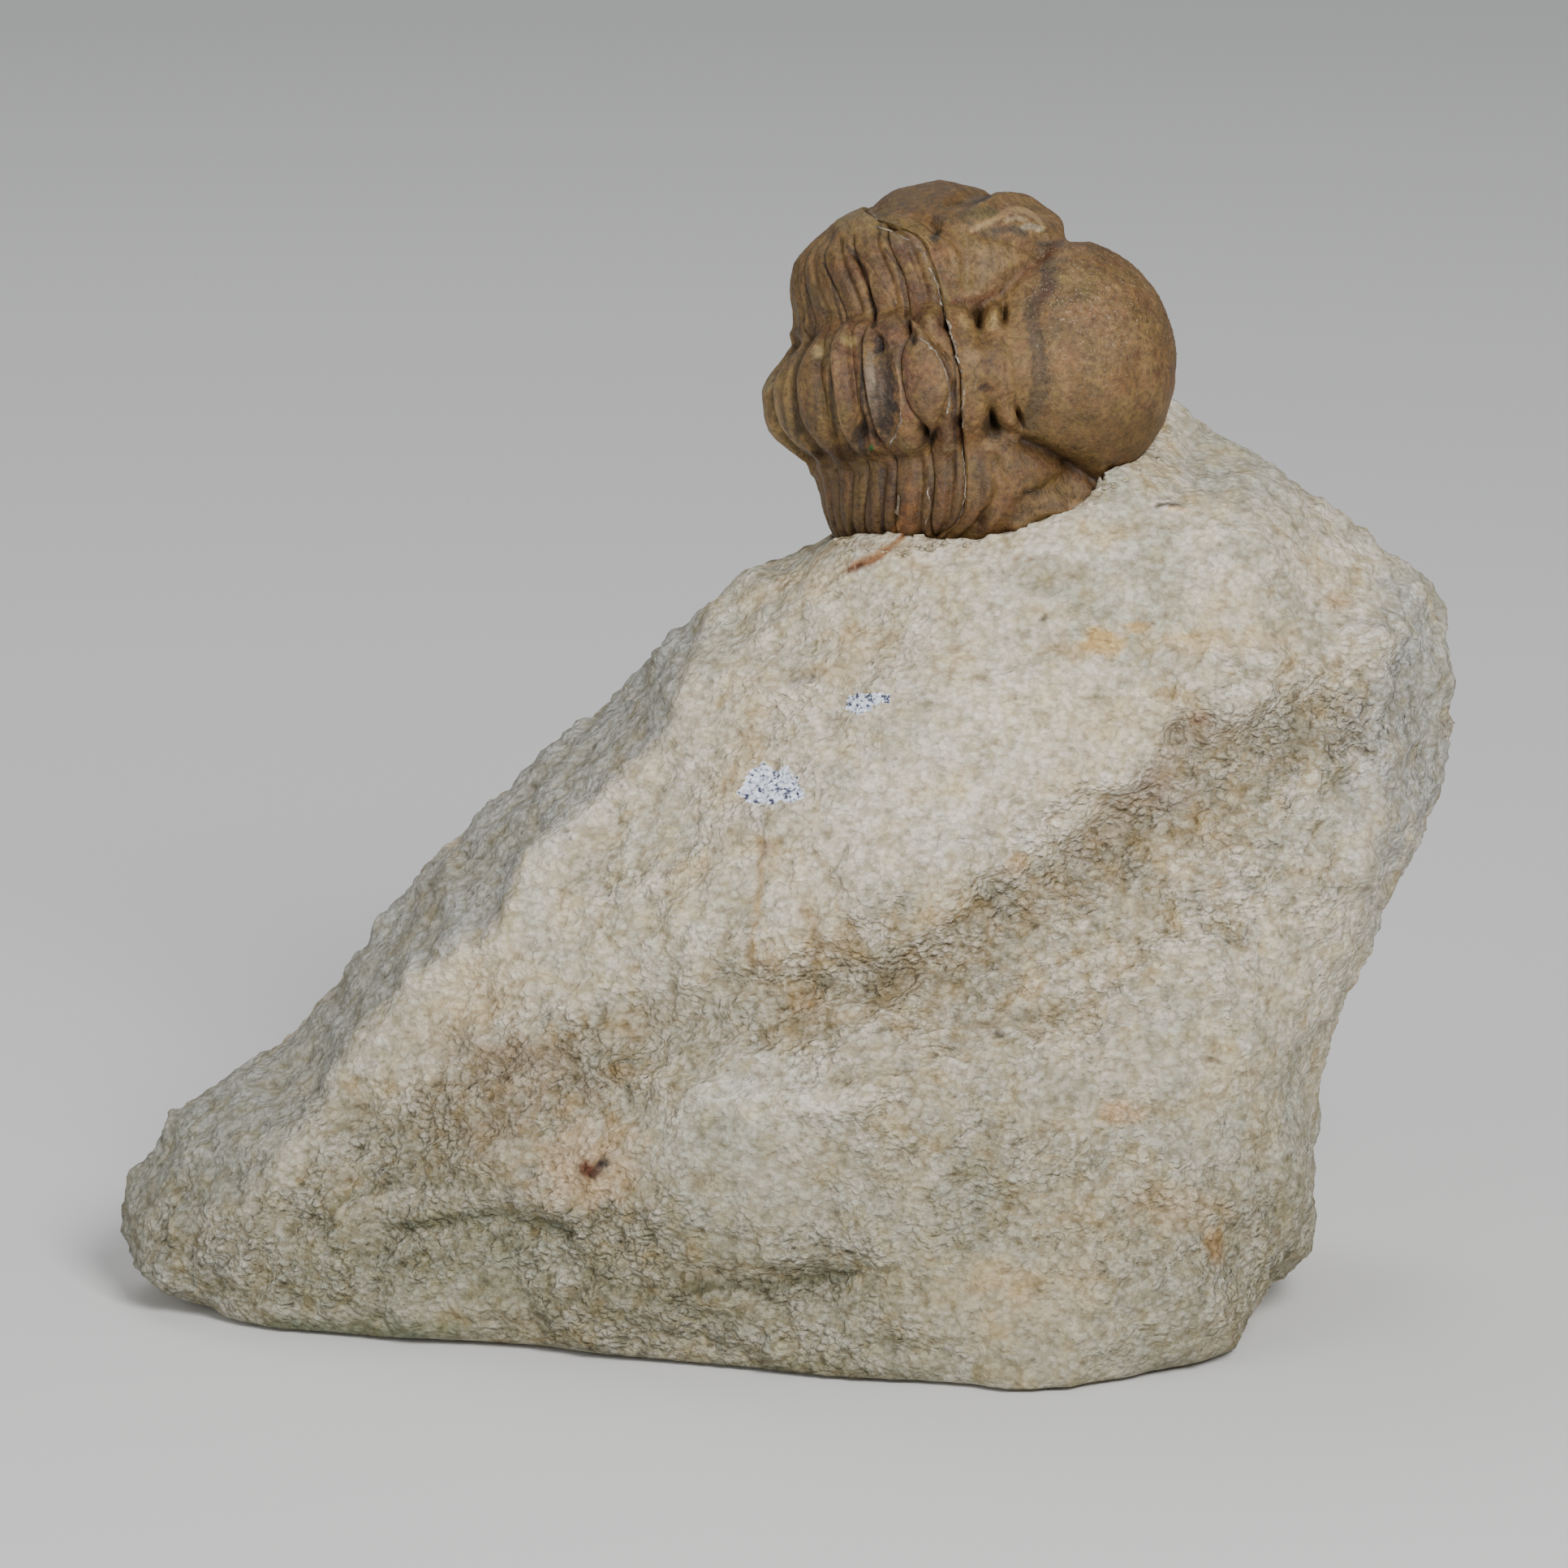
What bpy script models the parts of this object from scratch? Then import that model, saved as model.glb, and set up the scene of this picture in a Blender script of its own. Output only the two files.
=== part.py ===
"""A partly enrolled trilobite standing on its limestone matrix.

The rock's flat underside is the frame's floor: +X runs to the right of the display view, +Y away
from the viewer and +Z up. Shapes are worked out in millimetres, and the last step scales them to
metres. The trilobite has a frame of its own: x runs forwards along its head, y away from the
viewer, and w along the roll that its back is bent round, from its lower to its upper side.
"""
import math

import bmesh
import bpy
import numpy as np
from mathutils import Matrix, Vector, noise

MM = 0.001

# The display view, in which the corners of the rock are given: its tilt, middle and distance
VIEW_TILT = math.radians(12.0)
VIEW_CENTRE = (0.03, -0.74, 26.25)
VIEW_DISTANCE = 450.0

# Where the middle of the roll lies in that view, and how far it leans to the left
TRILOBITE_ACROSS = 9.0
TRILOBITE_UP = 20.1
TRILOBITE_DEPTH = 3.5
TRILOBITE_LEAN = math.radians(8.5)

# Gap between neighbouring solids
GAP = 0.3

# Half of the back's cross-section, from the midline to the side: (w, distance from the roll's axis)
THORAX_PROFILE = [
    (0.0, 10.15), (1.2, 10.0), (2.2, 9.45), (3.0, 8.6), (3.6, 8.0), (4.3, 7.85), (5.6, 7.8),
    (6.9, 7.35), (7.75, 6.4), (8.5, 4.9), (8.95, 3.3), (9.4, 0.0),
]
CHEEK_PROFILE = [
    (0.0, 7.9), (2.2, 7.9), (4.3, 7.85), (5.6, 7.8), (6.9, 7.4), (7.9, 6.4), (8.9, 4.8),
    (9.6, 3.0), (9.9, 0.0),
]
RIM_PROFILE = [(0.0, 9.4), (4.0, 8.0), (6.0, 6.1), (8.0, 4.1), (9.2, 2.2), (9.9, 0.0)]

# The glabella is two ellipsoids: (centre, radii)
FRONTAL_LOBE = ((4.9, -3.4, 0.0), (5.5, 5.6, 6.1))
REAR_GLABELLA = ((0.5, -4.5, 0.0), (5.0, 5.2, 3.7))
BLEND_POWER = 30

# Edges of the head shield, from the midline to the genal tip: (angle round the roll, latitude)
HEAD_REAR_EDGE = [
    (1.7, 0), (3.4, 9), (5.1, 23.4), (5.9, 30.5), (7.6, 37.3), (11.5, 43.8), (23.4, 50), (37, 55.5),
    (54, 62.5), (80, 67),
]
HEAD_FRONT_EDGE = [
    (-98, 0), (-98, 14), (-98, 25), (-99, 36), (-101, 46), (-110, 60), (-135, 70), (-195, 74), (-280, 67),
]

# Rear edges of the eleven segments, as angles round the roll at these distances from the midline
EDGE_STATIONS = [0.0, 1.3, 2.5, 3.4, 5.2, 6.8, 8.0, 9.0]
SEGMENT_EDGES = [
    [19.0, 18.3, 15.4, 17.2, 18.0, 22.5, 26.0, 29.0],
    [29.7, 30.0, 30.8, 31.2, 33.3, 38.0, 42.0, 45.0],
    [40.2, 41.0, 42.7, 44.0, 47.4, 54.0, 57.0, 60.0],
    [56.5, 56.8, 57.6, 61.0, 64.6, 69.0, 72.0, 75.0],
    [74.0, 74.4, 75.5, 77.5, 80.0, 84.0, 87.0, 90.0],
    [90.0, 90.4, 91.5, 93.5, 96.0, 99.0, 101.0, 103.0],
    [106.5, 106.9, 108.0, 110.0, 112.0, 114.5, 116.5, 118.0],
    [123.0, 123.4, 124.5, 126.0, 128.0, 130.0, 131.5, 133.0],
    [139.5, 139.9, 141.0, 142.5, 144.0, 145.5, 146.5, 147.5],
    [155.5, 155.9, 156.8, 158.0, 159.2, 160.5, 161.5, 162.5],
    [171.0, 171.4, 172.2, 173.2, 174.0, 175.0, 175.8, 176.5],
]
TAIL_END = 262.0
# Each plate is solid from its surface in to this share of the way out from the roll's middle
INNER_SHARE = 0.34

HEAD_GRID = (20, 26)
# Middle of the head shield, the way back along its midline, and up
HEAD_AXES = (np.array([0.7071, -0.7071, 0.0]), np.array([-0.7071, -0.7071, 0.0]), np.array([0.0, 0.0, 1.0]))
SEGMENT_GRID = (4, 18)
TAIL_GRID = (7, 14)

# Corners of the rock in the display view: (across, up, depth away from the viewer)
ROCK_CORNERS = [
    # top ridge and right side, as outlined against the background
    (19.2, 19.0, 7.0), (23.8, 16.0, 6.0), (29.0, 11.5, 6.0), (32.1, 9.0, 5.0), (33.0, 6.2, 4.5),
    (32.3, 2.7, 5.0), (30.5, -4.2, 6.0), (26.3, -20.5, 4.0), (25.0, -24.1, 1.0), (21.4, -27.6, -5.0),
    # underside along the front
    (13.4, -29.8, -11.3), (-2.6, -28.8, -7.0), (-16.6, -27.9, -3.5), (-29.0, -26.7, 1.6),
    # left tip and the long upper left outline
    (-32.5, -22.9, 5.0), (-32.9, -21.5, 6.0), (-32.3, -19.3, 7.0), (-28.6, -15.0, 8.5),
    (-16.2, -1.9, 9.5), (-11.4, 2.6, 9.5), (-6.2, 7.2, 9.0), (-1.6, 10.6, 8.0), (3.0, 13.4, 7.0),
    # ridge between the front face and the grey upper left face
    (1.4, 11.0, 1.5), (-5.4, 5.0, 0.0), (-13.0, -4.5, -1.0), (-19.4, -11.7, -1.0), (-26.6, -20.5, 0.0),
    # shoulder in front of the trilobite
    (3.5, 11.6, -3.0), (8.6, 12.9, -3.5), (15.0, 14.2, -3.0), (20.5, 12.8, -3.0), (26.5, 8.6, -1.5),
    # front face
    (5.4, 3.0, -7.0), (21.4, 2.7, -5.5), (29.3, 3.5, -1.0), (27.6, -7.7, -2.0), (11.4, -11.3, -8.5),
    (-2.6, -7.3, -7.5), (19.4, -23.3, -9.5), (1.4, -19.3, -10.0), (-14.6, -17.3, -5.0), (-24.6, -23.7, -2.0),
    # back, which the display view hides
    (17.0, 17.0, 14.0), (5.0, 11.0, 14.0), (29.0, 5.0, 15.0), (27.0, -8.0, 18.0), (23.0, -22.3, 20.0),
    (0.0, -5.0, 19.0), (0.0, -22.5, 22.0), (-20.0, -22.9, 17.0), (-29.0, -21.5, 12.0), (-10.0, -3.0, 16.5),
]
# Outline of the rock in that view, from its left tip over the top to its right foot: (across, up)
ROCK_OUTLINE = [
    (-31.0, -25.0), (-32.0, -24.0), (-32.6, -23.2), (-32.9, -22.6), (-32.6, -20.6), (-32.4, -19.6),
    (-31.4, -18.2), (-29.4, -15.8), (-27.8, -14.2), (-26.6, -13.4), (-24.8, -12.6), (-23.4, -11.4),
    (-22.4, -10.2), (-21.4, -8.6), (-19.8, -6.8), (-17.8, -4.2), (-16.2, -2.6), (-14.2, -0.8),
    (-13.0, 0.4), (-12.2, 1.4), (-10.6, 2.6), (-8.6, 4.2), (-7.4, 5.6), (-6.6, 6.6), (-4.6, 8.2),
    (-2.6, 9.6), (-1.6, 10.6), (-0.2, 11.2), (1.4, 11.8), (3.0, 13.0), (19.0, 19.4), (20.6, 17.8),
    (21.8, 17.2), (23.4, 16.4), (24.4, 15.4), (25.4, 14.6), (27.0, 13.4), (28.6, 11.8),
    (30.6, 10.6), (31.8, 9.8), (32.4, 8.6), (32.8, 6.6), (33.0, 5.0), (32.8, 3.4), (32.4, 0.6),
    (31.8, -1.8), (30.6, -4.2), (29.6, -5.8), (29.0, -7.4), (28.0, -9.4), (27.4, -11.0),
    (27.2, -11.8), (26.6, -13.4), (26.2, -14.6), (26.2, -16.6), (26.1, -19.4), (26.2, -21.4),
    (25.8, -23.0), (25.0, -23.8), (23.8, -25.0),
]
OUTLINE_MIDDLE = (2.0, -9.0)
ROCK_VOXEL = 2.72
ROCK_SMOOTHING = 2
# Broad hollows (below zero) and swellings: (across, up, half width, half height, height)
ROCK_RELIEF = [
    (17.0, -4.0, 9.0, 5.0, -1.0), (4.0, -9.5, 9.0, 3.0, -0.8), (-12.0, -13.0, 7.0, 3.5, -0.9),
    (4.0, -15.5, 9.0, 3.5, 0.6), (-14.0, -22.5, 8.0, 3.0, -0.9), (15.0, -22.0, 7.0, 4.0, 0.5),
    (12.0, 5.0, 9.0, 4.0, 0.5), (31.0, -13.5, 6.0, 6.0, -1.9), (-25.0, -11.0, 4.5, 4.5, -1.6),
]


def smooth_step(low, high, x):
    t = np.clip((x - low) / (high - low), 0.0, 1.0)
    return t * t * (3.0 - 2.0 * t)


def bump(distance, width):
    return np.exp(-((distance / width) ** 2))


def curve_through(xs, ys, x):
    """Smooth curve through the points (xs, ys), read at x. Its slope at a point is its neighbours'."""
    xs = np.asarray(xs, float)
    ys = np.asarray(ys, float)
    slopes = np.gradient(ys, xs)
    x = np.clip(x, xs[0], xs[-1])
    i = np.clip(np.searchsorted(xs, x, side="right") - 1, 0, len(xs) - 2)
    h = xs[i + 1] - xs[i]
    t = (x - xs[i]) / h
    return (
        ys[i] * (1 + 2 * t) * (1 - t) ** 2
        + slopes[i] * h * t * (1 - t) ** 2
        + ys[i + 1] * t * t * (3 - 2 * t)
        + slopes[i + 1] * h * t * t * (t - 1)
    )


def profile_radius(profile, latitude):
    """Distance from the roll's middle to a cross-section's outline, in the direction of a latitude."""
    points = np.array(profile)
    latitudes = np.arctan2(points[:, 0], points[:, 1])
    return curve_through(latitudes, np.hypot(points[:, 0], points[:, 1]), np.abs(latitude))


def direction(angle, latitude):
    return np.stack(
        [-np.sin(angle) * np.cos(latitude), -np.cos(angle) * np.cos(latitude), np.sin(latitude)], -1
    )


def ellipsoid_radius(towards, centre, radii):
    """Distance from the roll's middle to the far side of an ellipsoid, or zero where it is missed."""
    radii = np.array(radii)
    centre = np.array(centre)
    a = ((towards / radii) ** 2).sum(-1)
    b = (towards * centre / radii**2).sum(-1)
    c = ((centre / radii) ** 2).sum() - 1.0
    inside = b * b - a * c
    return np.where((inside > 0) & (b > 0), (b + np.sqrt(np.maximum(inside, 0))) / a, 0.0)


def towards_front(angle):
    """Zero over the back of the thorax and the head's rear edge, one where head and tail meet."""
    return smooth_step(0.0, 1.0, -np.sin(angle))


def thorax_radius(angle, latitude):
    back = profile_radius(THORAX_PROFILE, latitude)
    rim = profile_radius(RIM_PROFILE, latitude)
    share = towards_front(angle) * (np.cos(angle) < 0.5)
    return back + (rim - back) * share


def head_relief(point):
    """Height of the head shield's furrows, lobes and eyes over its plain form."""
    x = point[..., 0]
    across = np.abs(point[..., 2])
    facing = smooth_step(1.0, -2.0, point[..., 1])
    axial_line = 3.15 + 0.64 * np.maximum(x - 1.2, 0.0)
    on_glabella = smooth_step(0.3, -0.3, across - axial_line)
    axial_furrow = 0.5 * bump((across - axial_line) / 1.19, 0.55) * smooth_step(-0.6, 0.6, x)
    occipital_furrow = 0.28 * bump(x - 0.9, 0.35) * on_glabella
    first_furrow = 0.12 * bump(x - 2.2, 0.4) * on_glabella
    slits = sum(0.6 * bump(x - at, 0.24) * bump(across - 2.55, 0.5) for at in (0.88, 2.2))
    side_lobes = sum(
        0.28 * bump(np.hypot(x - at, across - out), 0.5) for at, out in ((1.52, 2.65), (0.15, 2.9))
    )
    rear_edge = curve_through([0.0, 3.6, 6.5, 7.7, 8.85, 10.0], [-0.3, -0.75, -0.85, -2.1, -3.7, -5.5], across)
    border_furrow = 0.34 * bump(x - rear_edge - 1.25, 0.42) * smooth_step(3.7, 4.6, across)
    border_furrow = border_furrow * smooth_step(8.9, 7.9, across)
    lean = math.radians(24)
    along = (x - 3.7) * math.cos(lean) - (across - 7.3) * math.sin(lean)
    out = (x - 3.7) * math.sin(lean) + (across - 7.3) * math.cos(lean)
    eye = 0.75 * smooth_step(1.25, 0.55, np.hypot(along / 2.7, out / 1.25))
    eye_furrow = 0.32 * bump(out + 0.75, 0.32) * smooth_step(2.6, 1.4, np.abs(along))
    raised = side_lobes + eye
    sunk = axial_furrow + occipital_furrow + first_furrow + slits + border_furrow + eye_furrow
    return (raised - sunk) * facing


def head_point(towards):
    """Point of the head shield's outer surface in a direction from the roll's middle."""
    angle = np.arctan2(-towards[..., 0], -towards[..., 1])
    latitude = np.arcsin(np.clip(towards[..., 2], -1.0, 1.0))
    cheek = profile_radius(CHEEK_PROFILE, latitude)
    rim = profile_radius(RIM_PROFILE, latitude)
    body = cheek + (rim - cheek) * towards_front(angle)
    lobes = [ellipsoid_radius(towards, *lobe) for lobe in (FRONTAL_LOBE, REAR_GLABELLA)]
    front = sum(r**BLEND_POWER for r in (body, *lobes)) ** (1.0 / BLEND_POWER)
    rear = np.maximum(profile_radius(THORAX_PROFILE, latitude), cheek)
    share = smooth_step(math.radians(5), math.radians(-9), angle) * (np.abs(angle) < 2.5)
    radius = rear + (front - rear) * np.where(np.abs(latitude) > 1.0, 1.0, share)
    point = towards * radius[..., None]
    return point + towards * head_relief(point)[..., None]


def segment_relief(share, point_w, half_ring):
    """Height of a segment's ring, side nodes and pleural furrow over the plain roll.

    share runs from 0 at the front edge to 1 at the rear edge."""
    across = np.abs(point_w)
    axial = smooth_step(3.7, 3.1, across)
    ring = 0.3 * np.sin(np.pi * smooth_step(half_ring, 1.05, share))
    sunk_front = 0.5 * smooth_step(half_ring + 0.06, half_ring - 0.1, share)
    node = 0.35 * bump(across - 2.75, 0.5) * bump(share - (half_ring + 1.0) / 2, 0.28)
    pleural_furrow = 0.25 * bump(share - 0.45, 0.13) * smooth_step(8.6, 7.4, across)
    bands = 0.1 * np.sin(np.pi * np.clip(share, 0, 1))
    return axial * (ring - sunk_front + node) + (1 - axial) * (bands - pleural_furrow)


def edge_latitude(angle):
    """Latitude at which the head shield's edge covers the ends of the pleurae."""
    rear = HEAD_REAR_EDGE[4:]
    front = [(a % 360, latitude) for a, latitude in HEAD_FRONT_EDGE[-2:1:-1]]
    rows = np.array(rear + [(130, 71)] + front, float)
    return np.radians(curve_through(np.radians(rows[:, 0]), rows[:, 1], angle))


def rear_edge_of(segment, latitude):
    """Angle round the roll of a segment's rear edge. Segment 0 stands for the head."""
    if segment == 0:
        rows = np.array(HEAD_REAR_EDGE, float)
        return np.radians(curve_through(np.radians(rows[:, 1]), rows[:, 0], np.abs(latitude)))
    across = profile_radius(THORAX_PROFILE, latitude) * np.sin(np.abs(latitude))
    return np.radians(curve_through(EDGE_STATIONS, SEGMENT_EDGES[segment - 1], across))


def add_trilobite_frame(collection):
    """Empty that stands the trilobite on the rock. Its plates and the cutter are its children."""
    empty = bpy.data.objects.new("trilobite_frame", None)
    collection.objects.link(empty)
    middle = view_to_world() @ Vector((TRILOBITE_ACROSS, TRILOBITE_DEPTH, TRILOBITE_UP))
    empty.location = middle * MM
    turn = Matrix.Rotation(-VIEW_TILT, 4, "X") @ Matrix.Rotation(-TRILOBITE_LEAN, 4, "Y")
    empty.rotation_euler = turn.to_euler()
    return empty


def view_to_world():
    """Matrix that turns the display view's across, depth and up into the frame's X, Y and Z."""
    return Matrix.Translation(VIEW_CENTRE) @ Matrix.Rotation(-VIEW_TILT, 4, "X")


def unit_grid(rows, columns):
    """A bmesh grid and its vertices' two parameters, both from 0 to 1."""
    bm = bmesh.new()
    bmesh.ops.create_grid(bm, x_segments=rows, y_segments=columns, size=0.5)
    bm.verts.ensure_lookup_table()
    places = np.array([v.co[:2] for v in bm.verts]) + 0.5
    return bm, places[:, 0], places[:, 1]


def close_inwards(bm, outer, inner):
    """Gives the open grid its outer points, and closes it with a copy at its inner points."""
    number = bm.verts.layers.int.new("number")
    for n, (vert, place) in enumerate(zip(bm.verts, outer)):
        vert[number] = n
        vert.co = place
    made = bmesh.ops.extrude_face_region(bm, geom=list(bm.faces))["geom"]
    for vert in [e for e in made if isinstance(e, bmesh.types.BMVert)]:
        vert.co = inner[vert[number]]


def finished_mesh(bm, name, turn=Matrix()):
    bmesh.ops.remove_doubles(bm, verts=bm.verts, dist=0.02)
    bmesh.ops.transform(bm, matrix=Matrix.Scale(MM, 4) @ turn, verts=bm.verts)
    bmesh.ops.triangulate(bm, faces=bm.faces)
    bmesh.ops.recalc_face_normals(bm, faces=bm.faces)
    mesh = bpy.data.meshes.new(name)
    bm.to_mesh(mesh)
    bm.free()
    return mesh


def add_object(name, mesh, collection, material, parent=None, soft_edges=True):
    obj = bpy.data.objects.new(name, mesh)
    collection.objects.link(obj)
    obj.parent = parent
    if material:
        mesh.materials.append(material)
    if soft_edges:
        mesh.shade_smooth()
        mesh.set_sharp_from_angle(angle=math.radians(50))
    return obj


def make_material(name, colour, roughness):
    material = bpy.data.materials.new(name)
    material.use_nodes = True
    shader = material.node_tree.nodes["Principled BSDF"]
    shader.inputs["Base Color"].default_value = (*colour, 1.0)
    shader.inputs["Roughness"].default_value = roughness
    shader.inputs["Metallic"].default_value = 0.0
    return material


def head_edge():
    """Edge of the head shield round its middle: angles about that middle, and distances from it."""
    rows = np.radians(np.array(HEAD_REAR_EDGE + HEAD_FRONT_EDGE[::-1][1:], float))
    towards = direction(rows[:, 0], rows[:, 1])
    return about_head_middle(towards)


def about_head_middle(towards):
    middle, back, up = HEAD_AXES
    around = np.arctan2(towards @ up, towards @ back)
    return around, np.arccos(np.clip(towards @ middle, -1, 1))


def round_grid(rows, columns):
    """A bmesh grid and, for its vertices, an angle and a share of the way out to the edge."""
    bm, t, s = unit_grid(rows, columns)
    t = 2 * t - 1
    s = 2 * s - 1
    across = t * np.sqrt(1 - s * s / 2)
    up = s * np.sqrt(1 - t * t / 2)
    return bm, np.arctan2(up, across), np.minimum(np.hypot(across, up), 1.0)


def head_mesh():
    """The head shield, out from its middle to its edge in every direction."""
    bm, around, share = round_grid(*HEAD_GRID)
    edge_around, edge_reach = head_edge()
    reach = curve_through(edge_around, edge_reach, np.abs(around))
    middle, back, up = HEAD_AXES
    sideways = np.outer(np.cos(around), back) + np.outer(np.sin(around), up)
    points = []
    for depth in (1.0, INNER_SHARE):
        edge_gap = GAP / 2 / (8.0 * depth)
        polar = (share * (reach - edge_gap))[:, None]
        towards = np.cos(polar) * middle + np.sin(polar) * sideways
        points.append(head_point(towards) * depth)
    close_inwards(bm, *points)
    return finished_mesh(bm, "head_shield")


def wedge_between(bm, t, side, front_of, rear_of, relief_of):
    """Outer and inner points of a plate of the back, between two edges round the roll."""
    points = []
    for depth in (1.0, INNER_SHARE):
        latitude = side * 0.8
        for _ in range(3):
            angle = front_of(latitude) * (1 - t) + rear_of(latitude) * t
            latitude = side * (edge_latitude(angle) - GAP / (7.0 * depth))
        front = front_of(latitude)
        rear = rear_of(latitude)
        radius = thorax_radius((front + rear) / 2, latitude)
        half_gap = GAP / 2 / np.maximum(radius * np.cos(latitude) * depth, 0.8)
        angle = front + half_gap + (rear - front - 2 * half_gap) * t
        radius = thorax_radius(angle, latitude)
        radius = radius + relief_of(t, radius * np.sin(latitude))
        points.append(direction(angle, latitude) * radius[:, None] * depth)
    close_inwards(bm, *points)


def segment_mesh(number):
    """One thoracic segment."""
    bm, t, s = unit_grid(*SEGMENT_GRID)
    half_ring = 0.5 if number == 3 else 0.3
    wedge_between(
        bm, t, 2 * s - 1,
        lambda latitude: rear_edge_of(number - 1, latitude),
        lambda latitude: rear_edge_of(number, latitude),
        lambda share, across: segment_relief(share, across, half_ring),
    )
    return finished_mesh(bm, f"thorax_segment_{number:02d}")


def tail_relief(share, across):
    """Height of the tail shield's ringed axis, which fades towards its front edge."""
    axial = smooth_step(3.4 - 2.2 * share, 2.6 - 2.2 * share, np.abs(across))
    rings = 0.18 * np.sin(share * 8 * 2 * math.pi) * smooth_step(0.85, 0.6, share)
    return axial * (rings + 0.15) - 0.35 * smooth_step(0.3, 1.0, share) * (1 - axial)


def tail_mesh():
    """The tail shield."""
    bm, t, s = unit_grid(*TAIL_GRID)
    wedge_between(
        bm, t, 2 * s - 1,
        lambda latitude: rear_edge_of(len(SEGMENT_EDGES), latitude),
        lambda latitude: math.radians(TAIL_END) + 0 * latitude,
        tail_relief,
    )
    return finished_mesh(bm, "tail_shield")


def envelope_mesh():
    """A closed surface a gap outside the whole trilobite, which cuts its seat in the rock."""
    bm = bmesh.new()
    bmesh.ops.create_uvsphere(bm, u_segments=36, v_segments=22, radius=1.0)
    towards = np.array([v.co.normalized() for v in bm.verts])
    angle = np.arctan2(-towards[:, 0], -towards[:, 1])
    latitude = np.arcsin(np.clip(towards[:, 2], -1, 1))
    head = np.linalg.norm(head_point(towards), axis=1)
    back = thorax_radius(angle, latitude) + 0.3
    radius = np.maximum(head, back) + GAP + 0.15
    for vert, place in zip(bm.verts, towards * radius[:, None]):
        vert.co = place
    return finished_mesh(bm, "trilobite_seat")


def rock_mesh():
    """The matrix: a hull over its corners, made even, softened and given its relief."""
    bm = bmesh.new()
    for across, up, depth in ROCK_CORNERS:
        # The hull's corners are softened later on, so each starts a little further out
        bm.verts.new((across * 1.02, depth * 1.03, up * 1.03 - 0.3))
    made = bmesh.ops.convex_hull(bm, input=bm.verts)
    spare = [e for e in made["geom_interior"] if isinstance(e, bmesh.types.BMVert)]
    bmesh.ops.delete(bm, geom=spare, context="VERTS")
    hull = bpy.data.meshes.new("rock_hull")
    bm.to_mesh(hull)
    bm.free()
    holder = bpy.data.objects.new("rock_hull", hull)
    bpy.context.scene.collection.objects.link(holder)
    remesh = holder.modifiers.new("even faces", "REMESH")
    remesh.mode = "VOXEL"
    remesh.voxel_size = ROCK_VOXEL
    graph = bpy.context.evaluated_depsgraph_get()
    even = bpy.data.meshes.new_from_object(holder.evaluated_get(graph))
    bpy.data.objects.remove(holder)
    bm = bmesh.new()
    bm.from_mesh(even)
    for _ in range(ROCK_SMOOTHING):
        bmesh.ops.smooth_vert(bm, verts=bm.verts, factor=0.5, use_axis_x=True, use_axis_y=True, use_axis_z=True)
    bm.normal_update()
    for vert in bm.verts:
        vert.co = vert.co + vert.normal * rock_relief(vert.co, vert.normal)
    for _ in range(4):
        fit_to_outline(bm)
    bmesh.ops.transform(bm, matrix=view_to_world(), verts=bm.verts)
    everything = list(bm.verts) + list(bm.edges) + list(bm.faces)
    cut = bmesh.ops.bisect_plane(
        bm, geom=everything, dist=0.001, plane_co=(0, 0, 0), plane_no=(0, 0, -1), clear_outer=True
    )
    rim = [e for e in cut["geom_cut"] if isinstance(e, bmesh.types.BMEdge)]
    bmesh.ops.holes_fill(bm, edges=rim, sides=0)
    return finished_mesh(bm, "matrix_rock")


def fit_to_outline(bm):
    """Draws the rock's rim out or in, across the view, until it lies on the rock's outline."""
    places = np.array([v.co for v in bm.verts])
    middle = np.array(OUTLINE_MIDDLE)
    shrink = VIEW_DISTANCE / (VIEW_DISTANCE + places[:, 1])
    offset = places[:, (0, 2)] * shrink[:, None] - middle
    reach = np.hypot(offset[:, 0], offset[:, 1])
    # Angles are counted from straight down, so that the outline's two ends stay apart
    around = np.arctan2(-offset[:, 0], -offset[:, 1]) % (2 * math.pi)
    wanted = np.array(ROCK_OUTLINE) - middle
    wanted_around = np.arctan2(-wanted[:, 0], -wanted[:, 1]) % (2 * math.pi)
    wanted_reach = np.hypot(wanted[:, 0], wanted[:, 1])
    bm.verts.index_update()
    ends = np.array([[v.index for v in edge.verts] for edge in bm.edges])
    steps = np.radians(np.arange(2, 360, 4))
    rim = []
    for step in steps:
        turn = (around[ends] - step + math.pi) % (2 * math.pi) - math.pi
        crossing = (turn[:, 0] * turn[:, 1] <= 0) & (np.abs(turn).sum(1) < 1.0)
        turn = np.abs(turn[crossing]) + 1e-9
        near = reach[ends[crossing]]
        rim.append(((near * turn[:, ::-1]).sum(1) / turn.sum(1)).max())
    ratio = np.interp(steps, wanted_around, wanted_reach) / np.array(rim)
    ratio[(steps < wanted_around.min()) | (steps > wanted_around.max())] = 1.0
    share = np.clip(reach / np.interp(around, steps, rim), 0, 1) ** 4
    factor = (np.interp(around, steps, ratio) - 1) * share / shrink
    for vert, shift in zip(bm.verts, offset * factor[:, None]):
        vert.co.x += shift[0]
        vert.co.z += shift[1]


def rock_relief(place, normal):
    """Height of the rock's hollows and swellings, and of its uneven surface."""
    height = 0.9 * noise.noise(place / 11.0) + 0.5 * noise.noise(place / 5.0 + Vector((7, 3, 1)))
    for across, up, wide, tall, amount in ROCK_RELIEF:
        reach = ((place.x - across) / wide) ** 2 + ((place.z - up) / tall) ** 2
        front = max(0.0, min(1.0, 0.6 - normal.y))
        height += amount * math.exp(-reach) * front
    return height


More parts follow.
